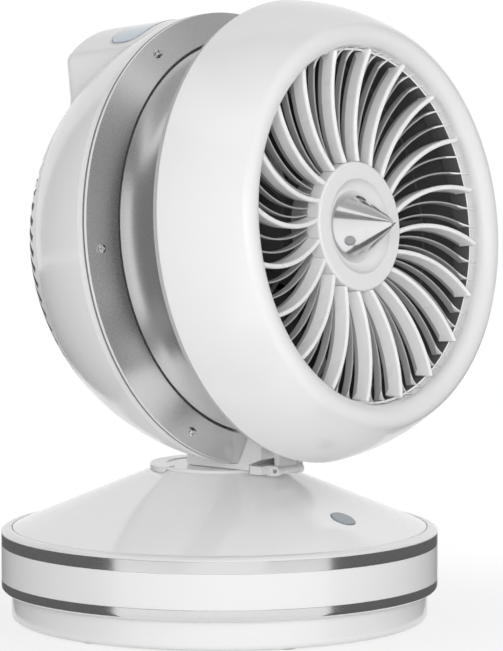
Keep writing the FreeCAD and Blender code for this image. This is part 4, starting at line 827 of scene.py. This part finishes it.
def studio_floor(stage):
    """Large pale floor: white to the camera farther off, with the object's soft shadow kept near it."""
    half = FLOOR_HALF
    mesh = bpy.data.meshes.new("floor")
    corners = [(-half, -half, 0), (half, -half, 0), (half, half, 0), (-half, half, 0)]
    mesh.from_pydata(corners, [], [(0, 1, 2, 3)])
    floor = bpy.data.objects.new("floor", mesh)
    bpy.context.scene.collection.objects.link(floor)
    n = Nodes("floor")
    n.tint(n.noise(FLOOR_SCALE), stage.floor, FLOOR_DRIFT)
    n.shader.inputs["Roughness"].default_value = FLOOR_ROUGH
    path = n.add("ShaderNodeLightPath")
    seen = n.add("ShaderNodeMath", operation="MAXIMUM")
    n.link(path.outputs["Is Camera Ray"], seen.inputs[0])
    n.link(path.outputs["Is Glossy Ray"], seen.inputs[1])
    place = n.add("ShaderNodeTexCoord")
    far = n.add("ShaderNodeVectorMath", operation="LENGTH")
    n.link(place.outputs["Object"], far.inputs[0])
    share = n.add("ShaderNodeMath", operation="MULTIPLY")
    n.link(seen.outputs[0], share.inputs[0])
    n.link(n.remap(far.outputs["Value"], GLOW_DISTANCE, GLOW_SHARE, "SMOOTHSTEP"), share.inputs[1])
    glow = n.add("ShaderNodeEmission", Strength=1.0)
    mix = n.add("ShaderNodeMixShader")
    n.link(share.outputs[0], mix.inputs[0])
    n.link(n.shader.outputs[0], mix.inputs[1])
    n.link(glow.outputs[0], mix.inputs[2])
    n.link(mix.outputs[0], n.surface)
    mesh.materials.append(n.material)


def studio_sky(stage):
    """Surrounding light, dimmer overhead, that the camera and mirrors see as white."""
    world = bpy.data.worlds.new("studio")
    bpy.context.scene.world = world
    world.use_nodes = True
    tree = world.node_tree
    sky = tree.nodes["Background"]
    white = tree.nodes.new("ShaderNodeBackground")
    for background in (sky, white):
        background.inputs["Color"].default_value = (1, 1, 1, 1)
        background.inputs["Strength"].default_value = 1.0
    place = tree.nodes.new("ShaderNodeTexCoord")
    parts = tree.nodes.new("ShaderNodeSeparateXYZ")
    rise = tree.nodes.new("ShaderNodeMapRange")
    rise.inputs["To Min"].default_value = stage.sky
    rise.inputs["To Max"].default_value = stage.zenith
    path = tree.nodes.new("ShaderNodeLightPath")
    seen = tree.nodes.new("ShaderNodeMath")
    seen.operation = "MAXIMUM"
    mix = tree.nodes.new("ShaderNodeMixShader")
    for source, target in (
            (place.outputs["Generated"], parts.inputs[0]),
            (parts.outputs["Z"], rise.inputs["Value"]),
            (rise.outputs["Result"], sky.inputs["Strength"]),
            (path.outputs["Is Camera Ray"], seen.inputs[0]),
            (path.outputs["Is Glossy Ray"], seen.inputs[1]),
            (seen.outputs[0], mix.inputs[0]),
            (sky.outputs[0], mix.inputs[1]),
            (white.outputs[0], mix.inputs[2]),
            (mix.outputs[0], tree.nodes["World Output"].inputs["Surface"])):
        tree.links.new(source, target)


class FAN_OT_stage(bpy.types.Operator):
    """Set up the camera, the soft light and the pale floor"""

    bl_idname = "fan.stage"
    bl_label = "Stage"

    def execute(self, context):
        stage = context.scene.fan_stage
        context.scene.view_settings.view_transform = "Standard"
        add_camera(stage)
        studio_floor(stage)
        studio_sky(stage)
        add_lamps(stage)
        add_cards(stage)
        return {"FINISHED"}


# In the order in which main() calls them
OPERATORS = (FAN_OT_base, FAN_OT_drive, FAN_OT_neck, FAN_OT_head, FAN_OT_pod_fillet, FAN_OT_outlet,
             FAN_OT_slat_ends, FAN_OT_rotor, FAN_OT_stage)


class FAN_PT_panel(bpy.types.Panel):
    """Lists the fan's groups of pieces"""

    bl_idname = "FAN_PT_panel"
    bl_label = "Turbine table fan"
    bl_space_type = "VIEW_3D"
    bl_region_type = "UI"
    bl_category = "Fan"

    def draw(self, context):
        for operator in OPERATORS:
            self.layout.operator(operator.bl_idname)


GROUPS = (("fan_finishes", FanFinishes), ("fan_sizes", FanSizes), ("fan_stage", FanStage))


def register():
    for name, group in GROUPS:
        bpy.utils.register_class(group)
        setattr(bpy.types.Scene, name, PointerProperty(type=group))
    for operator in OPERATORS:
        bpy.utils.register_class(operator)
    bpy.utils.register_class(FAN_PT_panel)


def unregister():
    bpy.utils.unregister_class(FAN_PT_panel)
    for operator in reversed(OPERATORS):
        bpy.utils.unregister_class(operator)
    for name, group in reversed(GROUPS):
        delattr(bpy.types.Scene, name)
        bpy.utils.unregister_class(group)


def main():
    register()
    for operator in OPERATORS:
        group, name = operator.bl_idname.split(".")
        getattr(getattr(bpy.ops, group), name)()


if __name__ == "__main__":
    main()
